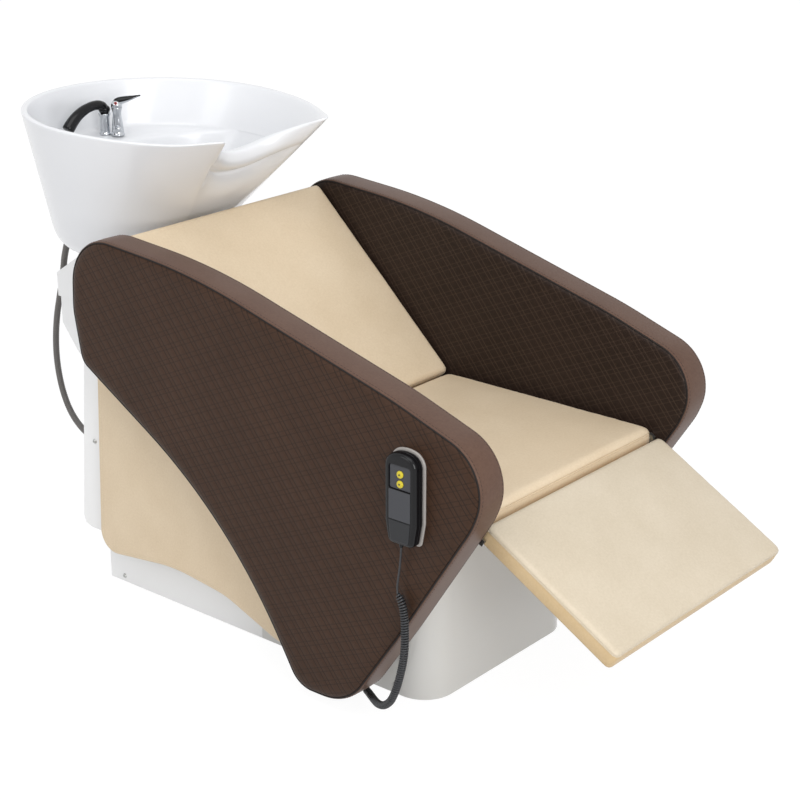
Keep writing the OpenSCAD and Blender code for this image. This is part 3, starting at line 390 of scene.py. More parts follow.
def vinylLeather(name, plan):
    # PVC leathercloth, embossed by a roller: a soft satin skin with an even pebble grain.
    # The real grain is about 0.8 mm; it is drawn coarser so that it still shows.
    material, tree, shader, at = newSurface(name, {
        "Roughness": plan["roughness"], "IOR": 1.5, "Specular IOR Level": plan["gloss"],
        "Sheen Weight": plan["sheen"], "Sheen Roughness": 0.4})
    cloudy = addNode(tree, "TexNoise", {"Scale": 1 / (plan["cloudMm"] * mm), "Detail": 3.0}, {"Vector": at})
    fleck = addNode(tree, "TexNoise", {"Scale": 1 / (plan["fleckMm"] * mm), "Detail": 2.0}, {"Vector": at})
    half = addNode(tree, "Math", {"operation": "MULTIPLY", 1: 0.5}, {0: cloudy})
    mixed = addNode(tree, "Math", {"operation": "MULTIPLY_ADD", 1: 0.5}, {0: fleck, 2: half})
    colour = addNode(tree, "ValToRGB", links={0: mixed},
                     stops=[(0.3, hexColour(plan["dark"])), (0.7, hexColour(plan["light"]))])
    # The grain: cells of the given size with finer pores over them
    grain = plan["grainMm"] * mm
    cells = addNode(tree, "TexVoronoi", {"feature": "SMOOTH_F1", "Scale": 1 / grain, "Smoothness": 0.6,
                                         "Randomness": 1.0}, {"Vector": at})
    pores = addNode(tree, "TexNoise", {"Scale": 2.5 / grain, "Detail": 2.0}, {"Vector": at})
    height = addNode(tree, "Math", {"operation": "MULTIPLY_ADD", 1: 0.35}, {0: pores, 2: cells})
    if "quilt" in plan:
        colour, height = quiltLines(tree, plan["quilt"], at, colour, height)
    tree.links.new(colour.outputs[0], shader.inputs["Base Color"])
    bumped(tree, shader, height, plan["bump"], plan["reliefMm"])
    return material


def quiltLines(tree, plan, at, colour, grain):
    # Two families of sewn double lines, crossing at a slant, pressed into the skin; the colour laid along them
    # is painted: shade in the grooves on the outer faces, a highlight on the inner faces
    period = plan["periodMm"] * mm
    depths = []
    for (across, up), width, strength in zip(plan["families"], plan["widthMm"], plan["strength"]):
        phase = addNode(tree, "VectorMath",
                        {"operation": "DOT_PRODUCT", 1: (0, across / period, up / period)}, {0: at})
        share = addNode(tree, "Math", {"operation": "FRACT"}, {0: phase.outputs["Value"]})
        gaps = [addNode(tree, "Math", {"operation": "SUBTRACT", 1: line}, {0: share})
                for line in plan["lines"]]
        sizes = [addNode(tree, "Math", {"operation": "ABSOLUTE"}, {0: gap}) for gap in gaps]
        nearest = addNode(tree, "Math", {"operation": "MINIMUM"}, {0: sizes[0], 1: sizes[1]})
        depths.append(addNode(tree, "MapRange", {
            "interpolation_type": "SMOOTHSTEP", "From Min": 0.0, "From Max": width / plan["periodMm"],
            "To Min": 1 - strength, "To Max": 1.0}, {"Value": nearest}))
    depth = addNode(tree, "Math", {"operation": "MULTIPLY"}, {0: depths[0], 1: depths[1]})
    # The line colour mixed into the skin: painted shade along the grooves, a painted highlight on the inner
    # faces
    shade = addNode(tree, "MixRGB", {"blend_type": "MIX", "Color1": hexColour(plan["colour"])},
                    {"Fac": depth, "Color2": colour})
    height = addNode(tree, "Math", {"operation": "MULTIPLY_ADD", 1: 2.2}, {0: depth, 2: grain})
    return shade, height


quiltPlan = {
    "families": [(-0.77, 0.64), (-0.40, -0.92)],   # the slants, across the arm and up
    "periodMm": 25.0, "lines": [0.33, 0.66], "widthMm": [1.9, 1.7], "strength": [0.8, 0.45],
    # The lines' colour, laid on with each family's strength: painted shade in the pressed grooves
    "colour": "22170f",
}
plainVinyl = {"roughness": 0.44, "gloss": 0.3, "sheen": 0.04, "cloudMm": 90, "fleckMm": 4, "grainMm": 1.8,
              "bump": 0.2, "reliefMm": 0.3}
quiltVinyl = dict(plainVinyl, roughness=0.46, gloss=0.16, sheen=0.02, cloudMm=120, fleckMm=6, bump=0.3,
                  reliefMm=0.35)
vinylPlans = {
    "creamVinyl": dict(plainVinyl, dark="dac5a6", light="e5d2b5"),
    "paleCreamVinyl": dict(plainVinyl, dark="cdbfa7", light="d9ccb6", roughness=0.4, gloss=0.35),
    # A darker copy of the leg rest's cream skin for its boxed side: painted shade
    "shadedBoxingVinyl": dict(plainVinyl, dark="c9ae84", light="d3ba92"),
    "brownVinyl": dict(plainVinyl, dark="573f33", light="634b3e", gloss=0.24, cloudMm=80, fleckMm=5,
                       bump=0.24),
    "quiltedVinyl": dict(quiltVinyl, dark="382519", light="422d20", quilt=quiltPlan),
    # The inner faces get a darker copy of the quilted skin, painted shade where the arms shade them, and
    # lighter sewn lines, a painted highlight along the lines
    "innerQuiltedVinyl": dict(quiltVinyl, dark="251b16", light="2f231d",
                              quilt=dict(quiltPlan, colour="46382f", strength=[0.6, 0.35])),
}


def evenSurface(name, colour, settings, *waves):
    # One colour over a relief of the given size, detail, strength and depth
    material, *made = newSurface(name, dict(settings, **{"Base Color": hexColour(colour)}))
    relief(*made, *waves)
    return material


def plainPlastic(name, colour, roughness, gloss=0.5, textureMm=0.6, bump=0.05):
    # Injection-moulded plastic: even colour, with the mould's fine texture
    return evenSurface(name, colour, {"Roughness": roughness, "IOR": 1.46, "Specular IOR Level": gloss},
                       textureMm, 2.0, bump, 0.1)


def gelcoat(name, colour):
    # Glass-fibre casing with a polished white gelcoat: glossy, very slightly wavy
    return evenSurface(name, colour,
                       {"Roughness": 0.22, "IOR": 1.5, "Coat Weight": 0.5, "Coat Roughness": 0.08}, 70, 1.0,
                       0.12, 2.0)


def fireclay(name, colour):
    # Fireclay under a fired white glaze: glossy, with the slow waves of a poured glaze
    return evenSurface(name, colour,
                       {"Roughness": 0.3, "IOR": 1.52, "Coat Weight": 0.6, "Coat Roughness": 0.14}, 55, 1.0,
                       0.08, 2.0)


def metal(name, colour, roughness, streakMm, bump):
    # Chrome plate is a mirror; zinc-plated steel is duller and finely streaked
    return evenSurface(name, colour, {"Metallic": 1.0, "Roughness": roughness}, streakMm, 2.0, bump, 0.2)


def powderCoat(name, colour):
    # Powder-coated steel: a fine orange peel, baked on
    return evenSurface(name, colour, {"Roughness": 0.45, "IOR": 1.5}, 1.6, 1.0, 0.25, 0.15)


def plywood(name, dark, light):
    # Birch plywood, cut and unfinished: pale, with fine grain lines
    material, tree, shader, at = newSurface(name, {"Roughness": 0.6, "IOR": 1.5})
    drawn = addNode(tree, "Mapping", {"Scale": (1, 0.08, 1)}, {"Vector": at})
    grain = relief(tree, shader, drawn, 3, 4.0, 0.2, 0.2)
    ramp = addNode(tree, "ValToRGB", links={0: grain}, stops=[(0, hexColour(dark)), (1, hexColour(light))])
    tree.links.new(ramp.outputs[0], shader.inputs["Base Color"])
    return material


def softPvc(name, colour, roughness):
    # Extruded PVC, and sewing thread of the same dull sheen, a little uneven in colour
    material, tree, shader, at = newSurface(name,
                                            {"Roughness": roughness, "IOR": 1.5, "Specular IOR Level": 0.5})
    dirt = relief(tree, shader, at, 6, 3.0, 0.1, 0.1)
    shades = [tuple(min(1, c * level) for c in hexColour(colour)[:3]) + (1,) for level in (0.82, 1.15)]
    ramp = addNode(tree, "ValToRGB", links={0: dirt}, stops=[(0, shades[0]), (1, shades[1])])
    tree.links.new(ramp.outputs[0], shader.inputs["Base Color"])
    return material


finishPlans = {
    "whiteGelcoat": (gelcoat, "f7f7f6"),
    # A darker copy of the white gelcoat: painted shade on the front apron under the leg rest
    "apronGelcoat": (gelcoat, "d8d7d3"),
    "glazedFireclay": (fireclay, "ecedef"),
    "chromePlate": (metal, "c3c6ca", 0.06, 30, 0.03),
    "zincPlate": (metal, "b4b5b3", 0.32, 2.0, 0.15),
    "blackPowderCoat": (powderCoat, "1f1f21"),
    "birchPlywood": (plywood, "a87f52", "cda877"),
    "blackGlossAbs": (plainPlastic, "121214", 0.12, 0.3, 0.8, 0.02),
    "greyGlossAbs": (plainPlastic, "414246", 0.2, 0.35, 0.8, 0.02),
    "darkMattAbs": (plainPlastic, "26272a", 0.4),
    "yellowAbs": (plainPlastic, "d2c02c", 0.28, 0.5, 0.8, 0.03),
    "greyHosePvc": (softPvc, "66625f", 0.38),
    "paleGreyPvc": (plainPlastic, "b3b4b5", 0.35),
    "gripAbs": (plainPlastic, "232427", 0.16, 0.4, 0.8, 0.02),
    "paleGreyAbs": (plainPlastic, "a29d98", 0.3),
    "blackCordPvc": (softPvc, "2b2c2f", 0.36),
    "brownThread": (softPvc, "2f211b", 0.6),
    # Near-black seam piping: painted shade in the fold where band and quilted face meet
    "seamThread": (softPvc, "150d0a", 0.8),
    # Pale stitching: the cream thread's own colour, lightened as a painted highlight along the seam
    "creamThread": (softPvc, "efe2c4", 0.6),
    "enamelRing": (plainPlastic, "b5322c", 0.2),
    "enamelCentre": (plainPlastic, "2a2022", 0.2),
}
finishes = {name: vinylLeather(name, plan) for name, plan in vinylPlans.items()}
finishes.update({name: make(name, *settings) for name, (make, *settings) in finishPlans.items()})

# Which finish each CAD node shows, by the record's slots
slotFinish = {
    "beige_leather": "creamVinyl", "light_beige_leather": "paleCreamVinyl", "brown_leather": "brownVinyl",
    "quilted_leather": "quiltedVinyl", "plywood": "birchPlywood", "black_steel": "blackPowderCoat",
    "zinc_steel": "zincPlate", "white_casing": "whiteGelcoat", "white_fireclay": "glazedFireclay",
    "chrome": "chromePlate", "black_gloss": "blackGlossAbs", "black_matt": "darkMattAbs",
    "dark_grey_matt": "darkMattAbs", "yellow_gloss": "yellowAbs", "grey_hose": "greyHosePvc",
    "grey_pvc": "paleGreyPvc", "black_rubber": "blackCordPvc",
}


def dressNodes():
    for row in frame["record"]["subparts"]:
        node = frame["nodes"][row["node"]]
        # The front apron takes the darker copy of the gelcoat: painted shade
        finish = "apronGelcoat" if row["node"] == "front_apron" else slotFinish[row["material_slot"]]
        node.data.materials.clear()
        node.data.materials.append(finishes[finish])


dressNodes()
print("materials made")


# Cords and hoses

curlyCordPlan = {
    "lead": [(-357.3, -472, 379), (-357.3, -471, 364), (-357.3, -469, 343), (-357.3, -465, 318),
             (-357.3, -463, 304), (-357.3, -464, 294)],
    "curled": [(-357.3, -464, 294), (-357.3, -469, 287), (-357.3, -475, 275), (-357.3, -479, 252),
               (-357.3, -480, 230), (-357.3, -480, 205), (-357.3, -478, 178), (-357.3, -472, 150),
               (-357.3, -465, 124), (-357.3, -457, 101), (-355.3, -446, 81), (-349.3, -427, 64),
               (-337.3, -404, 53), (-319.3, -380, 44), (-297.3, -354, 33), (-273.3, -326, 21),
               (-261.3, -308, 17)],
    "tail": [(-261.3, -308, 17), (-253.3, -298, 16), (-245, -288, 24), (-236, -276, 52), (-225, -276, 52)],
    "curlAcross": 14.4, "wire": 3.6, "pitch": 4.7, "perCurl": 16,
    "opensIn": 1.5,     # curls until they have their full width
    "bendsTo": 6,       # the curled point handed to layCord as the end
    "name": "curlyCord", "node": "remote_cord", "bodies": ("remote", "base"), "finish": "blackCordPvc",
    "slot": "black_rubber", "sides": 8, "stiffness": "limp",
}

showerHosePlan = {
    "route": [(-66, 669, 660), (-66, 671, 650), (-64, 677, 636), (-60, 688, 616), (-54, 703, 592),
              (-47, 717, 562), (-42, 731, 528), (-40, 745, 490), (-40, 757, 450), (-40, 765, 405),
              (-40, 768, 360), (-40, 764, 315), (-40, 753, 272), (-41, 733, 236), (-43, 704, 211),
              (-46, 668, 196), (-50, 624, 186), (-53, 576, 181), (-55, 528, 179), (-56, 486, 178),
              (-56, 466, 178), (-56, 450, 178)],
    "wire": 14, "ribPitch": 4.4, "ribDepth": 0.8, "plainEnds": 14, "plainDepth": 0.3,
    "bends": (1, 9),    # two points of its route, handed to layCord as start and end
    "name": "showerHose", "node": "shower_hose", "bodies": ("basin_tilt", "base"), "finish": "greyHosePvc",
    "slot": "grey_hose", "sides": 16, "stiffness": "medium",
}


def lineLength(points):
    return sum((b - a).length for a, b in zip(points, points[1:]))


def layCord(plan, line, radii, start, end):
    # A swept cord in place of its CAD node, left where it lies and riding on no body
    cord = piece(plan["name"], *sweep(line, radii, plan["sides"]), plan["finish"], None, plan["slot"])
    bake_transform(cord)
    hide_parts(plan["node"])


def makeCurlyCord(plan):
    # A retractile lead: straight from the handset, wound tightly, then straight to its gland
    curled = route(plan["curled"], 0.5)
    sides = carriedFrames(curled)
    curls = round(lineLength(curled) / plan["pitch"])
    count = curls * plan["perCurl"]
    radius = (plan["curlAcross"] - plan["wire"]) / 2
    coil = []
    for i in range(1, count):
        k = min(len(curled) - 1, round(i / count * (len(curled) - 1)))
        u, v = sides[k]
        turn = math.tau * curls * i / count
        reach = radius * min(1, min(i, count - i) / plan["perCurl"] / plan["opensIn"])
        coil.append(curled[k] + reach * (math.cos(turn) * u + math.sin(turn) * v))
    line = route(plan["lead"], 4) + coil + route(plan["tail"], 4)
    layCord(plan, line, [plan["wire"] / 2] * len(line), plan["lead"][0], plan["curled"][plan["bendsTo"]])


def makeShowerHose(plan):
    # Ribbed PVC hose, hanging in a loop under its own weight
    line = route(plan["route"], plan["ribPitch"] / 6, 3)
    total = lineLength(line)
    radii = []
    for i in range(len(line)):
        s = total * i / (len(line) - 1)
        plain = s < plan["plainEnds"] or s > total - plan["plainEnds"]
        wave = abs(math.sin(math.pi * s / plan["ribPitch"]))
        radii.append(plan["wire"] / 2 - (plan["plainDepth"] if plain else plan["ribDepth"] * (1 - wave)))
    layCord(plan, line, radii, *(plan["route"][i] for i in plan["bends"]))


makeCurlyCord(curlyCordPlan)
makeShowerHose(showerHosePlan)
print("cords made")


# Arms: a smooth band round the edge, two quilted faces, sewn seams darkened by cords of painted shade, and
# stitches

armPlan = {
    "corners": [(334, 774, 98), (20, 750, 1300), (-440, 625, 1100), (-650, 553, 92), (-606, 440, 150),
                (-450, 194, 300), (-334, 24, 115), (-216, 22, 55), (-52, 299, 900), (325, 519, 36),
                (343, 620, 120)],
    "middle": 308, "step": 7,
    # Sections: place across the arm from its middle, and depth in from the outline
    "band": [(-28.0, 3.2), (-29.6, 2.4), (-30.0, 1.4), (-29.0, 0.5), (-26.5, 0.0), (-14, -0.7), (0, -1.0),
             (14, -0.7), (27.5, 0.0), (30.0, 0.5), (31.0, 1.3), (30.8, 2.3), (29.0, 3.2), (28, 9), (-27, 9)],
    "outerFace": [(26, 4.2), (28.5, 4.0), (31.2, 4.6), (33.0, 6.0), (34.3, 8.4), (35.2, 11.8), (35.8, 16.0),
                  (36.2, 21.5), (36.3, 28)],
    "innerFace": [(-25, 4.2), (-28, 4.0), (-30.2, 4.6), (-31.6, 6.0), (-32.6, 8.4), (-33.2, 11.8),
                  (-33.6, 16.0), (-33.8, 21.5), (-33.9, 28)],
    # Puff of the quilting over one period: (share of the period, height)
    "puff": [(0, 0.35), (0.16, 0.2), (0.33, -0.35), (0.495, 0), (0.66, -0.35), (0.84, 0.2)],
    # Seams: near-black cords of painted shade in the fold between band and face
    "seams": [(31.2, 3.3), (-30.2, 3.3)], "seamWire": 2.8,
    "stitchRows": [(26.6, -0.1), (-25.6, -0.1)], "stitchEvery": 7.0, "stitchLong": 4.4, "stitchWire": 0.85,
}


def outlineRing(outline, depth, across):
    return [Vector((across, p.x, p.y)) for p in inset(outline, depth)]


def sewnLine(line, plan):
    # A row of short stitches along a closed line
    parts = []
    spots = evenly(line, plan["stitchEvery"])
    for a, b in zip(spots, spots[1:] + spots[:1]):
        d = (b - a).normalized() * plan["stitchLong"] / 2
        thick, tip = plan["stitchWire"] / 2, 0.3
        parts.append(sweep([a - d, a - d * 0.5, a + d * 0.5, a + d], [tip, thick, thick, tip], 5))
    return joined(parts)


def mirrorFor(side, parts):
    # Made at +X; the other arm is its mirror image
    points, faces = parts
    if side > 0:
        return points, faces
    return [(-p[0], p[1], p[2]) for p in points], [tuple(reversed(face)) for face in faces]


def quiltedFace(outline, across, away, puff, quilt):
    # A flat face whose points stand along the sewn lines, so that the puffs between them are real
    (ay, az), (by, bz) = quilt["families"]
    period, det = quilt["periodMm"], ay * bz - az * by
    slanted = [Vector(((ay * p.x + az * p.y) / period, (by * p.x + bz * p.y) / period)) for p in outline]
    heights = dict(puff)

    def levels(low, high):
        return [k + share for k in range(math.floor(low), math.ceil(high) + 1) for share in heights]

    def height(value):
        share = value - math.floor(value)
        return heights[min(heights, key=lambda known: abs(known - share))]

    inner = rowsInside(slanted, levels, 0.1)
    points = [Vector((across, p.x, p.y)) for p in outline]
    for q in inner:
        y, z = period * (q.x * bz - q.y * az) / det, period * (q.y * ay - q.x * by) / det
        points.append(Vector((across + away * min(height(q.x), 0.4 * height(q.y)), y, z)))
    return points, filled(slanted, inner)


def makeArm(plan, side, word):
    outline = evenly(roundedOutline(plan["corners"], 16), plan["step"])

    def rows(section):
        return [outlineRing(outline, depth, plan["middle"] + across) for across, depth in section]

    band = rows(plan["band"])
    standIn("armBand_" + word, mirrorFor(side, skin(band + band[:1], capped=False)), "brownVinyl", "base",
            "brown_leather", "arm_band_" + word)
    # The inner pads take the darker copy of the quilted skin: painted shade
    for label, away, finish in (("outer", 1, "quiltedVinyl"), ("inner", -1, "innerQuiltedVinyl")):
        section = plan[label + "Face"]
        rings = rows(section)
        across, depth = section[-1]
        puffed = quiltedFace(inset(outline, depth), plan["middle"] + across, away, plan["puff"], quiltPlan)
        back = (rings[0], filled([p.yz for p in rings[0]], []))
        face = joined([skin(rings, capped=False), puffed, back])
        cover("armQuilt_" + label + "_" + word, mirrorFor(side, face), finish, "base", "quilted_leather",
              "arm_" + label + "_pad_" + word)
    # The seams are near-black cords: painted shade in the fold between band and quilted face
    seams = [sweep(ring + ring[:1], [plan["seamWire"] / 2] * (len(ring) + 1), 6)
             for ring in rows(plan["seams"])]
    piece("armSeams_" + word, *mirrorFor(side, joined(seams)), "seamThread", "base", "brown_leather")
    stitches = [sewnLine(ring, plan) for ring in rows(plan["stitchRows"])]
    piece("armStitches_" + word, *mirrorFor(side, joined(stitches)), "brownThread", "base", "brown_leather")


makeArm(armPlan, -1, "right")
makeArm(armPlan, 1, "left")
print("arms made")


# Side panels inside the arms

panelPlan = {
    "corners": [(362, 640, 10), (238, 636, 20), (-44, 372, 40), (-500, 372, 28), (-520, 330, 28),
                (-250, 40, 60), (-96, 42, 100), (40, 94, 200), (180, 110, 400), (390, 84, 42)],
    "inside": 250.3, "step": 7, "grid": 9,
    "faces": [(0, 0, 0), (-1, 0.5, 60)],     # which end of the section; height and length of its waves
    "section": [(0, 0), (11, 0), (14.5, 0.5), (16.4, 1.8), (17.2, 3.6), (17.5, 6.0), (17.0, 7.0), (17.6, 8.0),
                (17.9, 9.2)],
    "stitchAt": 268.2, "stitchDepth": 9.5, "stitchEvery": 5.0, "stitchLong": 3.2, "stitchWire": 0.7,
}


def makeSidePanel(plan, side, word):
    outline = evenly(roundedOutline(plan["corners"], 12), plan["step"])
    rings = [outlineRing(outline, depth, plan["inside"] + across) for across, depth in plan["section"]]
    parts = [skin(rings, capped=False)]
    for end, high, long in plan["faces"]:
        across = plan["inside"] + plan["section"][end][0]
        flat = [p.yz for p in rings[end]]
        inner = rowsInside(flat, everyStep(plan["grid"]), 3)
        waves = [high * noise.noise(Vector((q.x / long, q.y / long, 4))) if high else 0 for q in inner]
        points = rings[end] + [Vector((across + wave, q.x, q.y)) for q, wave in zip(inner, waves)]
        parts.append((points, filled(flat, inner)))
    cover("sidePanel_" + word + "_cover", mirrorFor(side, joined(parts)), "creamVinyl", "base",
          "beige_leather", "side_panel_" + word)
    # Pale stitches: cream thread with a painted highlight along the seam
    line = outlineRing(outline, plan["stitchDepth"], plan["stitchAt"])
    piece("sidePanelStitches_" + word, *mirrorFor(side, sewnLine(line, plan)), "creamThread", "base",
          "beige_leather")


makeSidePanel(panelPlan, -1, "right")
makeSidePanel(panelPlan, 1, "left")
print("side panels made")


# Cushions: a crowned top, a boxed side, and a welted seam where they meet

creamCushion = {
    # Length and height of the puckers, how far they reach from the seam, then length and height of the waves
    "puckers": (17, 0.7, 16), "waves": (90, 0.8),
    "grid": 6, "welt": 2.3, "crown": 4.5, "wrinkle": 0.9, "skin": "creamVinyl", "boxing": "creamVinyl",
    "body": "base", "slot": "beige_leather",
}
cushionPlans = [
    dict(creamCushion, name="seatCushion", node="seat_cushion", at=(-76, 429), slope=0, way=-1, seed=3,
         halfWidth=262.4, long=481, thick=37.2, corner=12, roll=15, seamDrop=13),
    dict(creamCushion, name="backCushion", node="back_cushion", at=(-74, 431), slope=43.3, way=1, seed=11,
         halfWidth=270, long=477, thick=60, corner=8, roll=11, seamDrop=12, wrinkle=0.8),
    # The leg rest's boxed side takes the darker copy of its skin: painted shade
    dict(creamCushion, name="legRestCushion", node="leg_rest_cushion", at=(-576, 417), slope=29.6, way=-1,
         seed=23, halfWidth=261.7, long=304, thick=37.5, corner=9, roll=10, seamDrop=9, crown=5.0,
         skin="paleCreamVinyl", boxing="shadedBoxingVinyl", body="leg_rest", slot="light_beige_leather"),
]


def onCushion(plan, x, y, z):
    # x across, y along the top from its hinged or rear edge, z up from it
    (ay, az), way, slope = plan["at"], plan["way"], math.radians(plan["slope"])
    c, s = math.cos(slope), math.sin(slope)
    return Vector((x, ay + way * y * c - z * s, az + way * y * s + z * c))


def insetBox(plan, outline, depth):
    # Shrinks the rounded rectangle towards its middle, corners and all
    w, half = plan["halfWidth"], plan["long"] / 2
    return [Vector((p.x * (w - depth) / w, half + (p.y - half) * (half - depth) / half)) for p in outline]


def cushionSection(plan):
    # (depth in from the outline, height) from the underside, round the boxed side, to the top
    roll, seam, low = plan["roll"], plan["seamDrop"], -plan["thick"]
    section = [(12, low), (3, low), (0.8, low + 1.0), (0, low + 3.5),
               (-0.4, low + (plan["thick"] - seam) * 0.5), (0, -seam - 2.6), (0.5, -seam - 1.2), (1.6, -seam),
               (0.5, -seam + 1.2)]
    for k in range(1, 9):
        a = math.radians(90 * k / 8)
        section.append((roll * (1 - math.cos(a)) + 0.2, -seam + 1.5 + (seam - 1.5) * math.sin(a)))
    return section + [(roll + 7, 0)]


def makeCushion(plan):
    w, long, r, seam, seed = plan["halfWidth"], plan["long"], plan["corner"], plan["seamDrop"], plan["seed"]
    outline = evenly(roundedOutline([(-w, 0, r), (w, 0, r), (w, long, r), (-w, long, r)], 6), plan["grid"])
    section, half = cushionSection(plan), long / 2
    (short, sharp, fade), (broad, soft) = plan["puckers"], plan["waves"]

    def flat(x, y, height, depth):
        return onCushion(plan, x, y, height)

    def lifted(x, y, height, depth):
        # The crown, the slow waves of the foam and the small puckers by the seam
        rise = (1 - (x / w) ** 4) * (1 - ((y - half) / half) ** 4)
        edge = min(w - abs(x), half - abs(y - half))
        pucker = noise.noise(Vector((x / short, y / short, seed))) * math.exp(-max(0, edge - 4) / fade) * sharp
        slow = noise.noise(Vector((x / broad, y / broad, seed + 7))) * soft
        waves = plan["wrinkle"] * (pucker + slow) * min(1, max(0, depth) / 6)
        return onCushion(plan, x, y, height + plan["crown"] * rise + waves)

    def laid(spots, height, depth, form):
        return [form(p.x, p.y, height, depth) for p in spots]

    rings = [laid(insetBox(plan, outline, depth), height, depth, lifted if height > -seam else flat)
             for depth, height in section]
    parts = [skin(rings, capped=False)]
    for (depth, height), form in ((section[0], flat), (section[-1], lifted)):
        ring = insetBox(plan, outline, depth)
        inner = rowsInside(ring, everyStep(plan["grid"]), 3)
        parts.append((laid(ring + inner, height, depth, form), filled(ring, inner)))
    thing = cover(plan["name"], joined(parts), plan["skin"], plan["body"], plan["slot"], plan["node"])
    thing.data.materials.append(finishes[plan["boxing"]])
    seamPlace = onCushion(plan, 0, 0, -seam) * mm
    up = (onCushion(plan, 0, 0, 1) - onCushion(plan, 0, 0, 0)).normalized()
    for polygon in thing.data.polygons:
        polygon.material_index = 1 if (polygon.center - seamPlace).dot(up) < 0 else 0
    welt = laid(insetBox(plan, outline, 0.7), -seam, 0, flat)
    piece(plan["name"] + "Welt", *sweep(welt + welt[:1], [plan["welt"] / 2] * (len(welt) + 1), 8),
          plan["skin"], plan["body"], plan["slot"])


for cushionPlan in cushionPlans:
    makeCushion(cushionPlan)
print("cushions made")


# Basin: one glazed fireclay piece with a rim that dips at the neck, two horns, a bowl and a tap deck

basinPlan = {
    # Height, half width, middle, reach behind, reach in front: from the foot to the waist, and at the rim
    "base": [(642, 112, 492, 132, 96), (646, 140, 486, 160, 108), (653, 166, 481, 184, 112),
             (666, 184, 479, 203, 108), (686, 195, 478, 213, 106)],
    "rim": (936, 279, 432, 281, 362), "rimSlope": 0.037, "hornRise": (9, 178, 50), "hornAt": 125,
    "horns": [(642, 40), (686, 50), (767, 80), (802, 104), (847, 117), (891, 129), (933, 138)],
    # How far the neck stands back, by its share of the height from waist to rim
    "neckOutside": [(0, 0), (0.18, 6), (0.33, 8), (0.54, 22), (0.66, 38), (0.745, 56), (0.77, 64),
                    (0.785, 65), (0.797, 58), (0.803, 50), (0.835, 49), (0.88, 56), (0.92, 65), (0.97, 79),
                    (1, 88)],
    "neckInside": [(0, 0), (0.33, 10), (0.54, 27), (0.76, 59), (0.87, 66), (1, 97)],
    "outsideLevels": [0.09, 0.18, 0.26, 0.33, 0.44, 0.54, 0.66, 0.745, 0.77, 0.785, 0.797, 0.803, 0.835, 0.88,
                      0.93, 0.97],
    "insideLevels": [0.96, 0.92, 0.88],
    # The bowl below the deck: (drop, depth in from the wall)
    "deck": [(0, 0), (10, 1), (34, 3), (66, 8), (100, 16), (130, 26), (152, 40), (168, 54), (177, 74)],
    "wall": 13, "lip": 880, "deckTop": 845, "deckFront": 592, "deckLean": 2, "floor": 668,
    "wasteAt": 500, "wasteHole": 22, "wasteEnd": 646, "recess": 5,
    "sidePoints": 44, "neckPoints": 24,
}


def between(table, x):
    # Straight-line reading of a table of pairs
    if x <= table[0][0]:
        return table[0][1]
    for (a, va), (b, vb) in zip(table, table[1:]):
        if x <= b:
            return va + (vb - va) * (x - a) / (b - a)
    return table[-1][1]


def basinSection(plan, z):
    rimZ, *rim = plan["rim"]
    waist, *start = plan["base"][-1]
    if z < waist:
        return [between([(row[0], row[c]) for row in plan["base"]], z) for c in (1, 2, 3, 4)]
    share = (z - waist) / (rimZ - waist)
    return [a + (b - a) * share for a, b in zip(start, rim)]


def rimHeight(plan, y):
    high, start, over = plan["hornRise"]
    return plan["rim"][0] + plan["rimSlope"] * (y - plan["rim"][2]) + high * min(1, max(0, (start - y) / over))


def basinPoint(plan, k, z, wall, cut, neck):
    # k runs round the side from one horn to the other, then back across the neck
    a0, middle, rear, front = basinSection(plan, z)
    a, rear, front = a0 - wall, min(rear - wall, cut - middle), front - wall
    h = between(plan["horns"], z) * a / a0
    n, m = plan["sidePoints"], plan["neckPoints"]
    if k <= n:
        phi = math.asin(h / a)
        angle = phi + (math.tau - 2 * phi) * k / n
        c = -math.cos(angle)
        return Vector((a * math.sin(angle), middle + (rear if c > 0 else front) * c, z))
    t = (k - n) / m * 2 - 1
    x, waist = h * t, plan["base"][-1][0]
    back = between(neck, (z - waist) / (basinTop(plan, k) - waist)) * (1 - abs(t) ** 3.5)
    return Vector((x, middle - front * math.sqrt(1 - (x / a) ** 2) + back, z))


def basinTop(plan, k):
    n, m = plan["sidePoints"], plan["neckPoints"]
    rimZ, rimHalf, rimMiddle, rimRear, rimFront = plan["rim"]
    if k > n:
        t = (k - n) / m * 2 - 1
        return plan["lip"] + (rimHeight(plan, plan["hornAt"]) - plan["lip"]) * abs(t) ** 2.2
    phi = math.asin(between(plan["horns"], rimZ) / rimHalf)
    c = -math.cos(phi + (math.tau - 2 * phi) * k / n)
    return rimHeight(plan, rimMiddle + (rimRear if c > 0 else rimFront) * c)


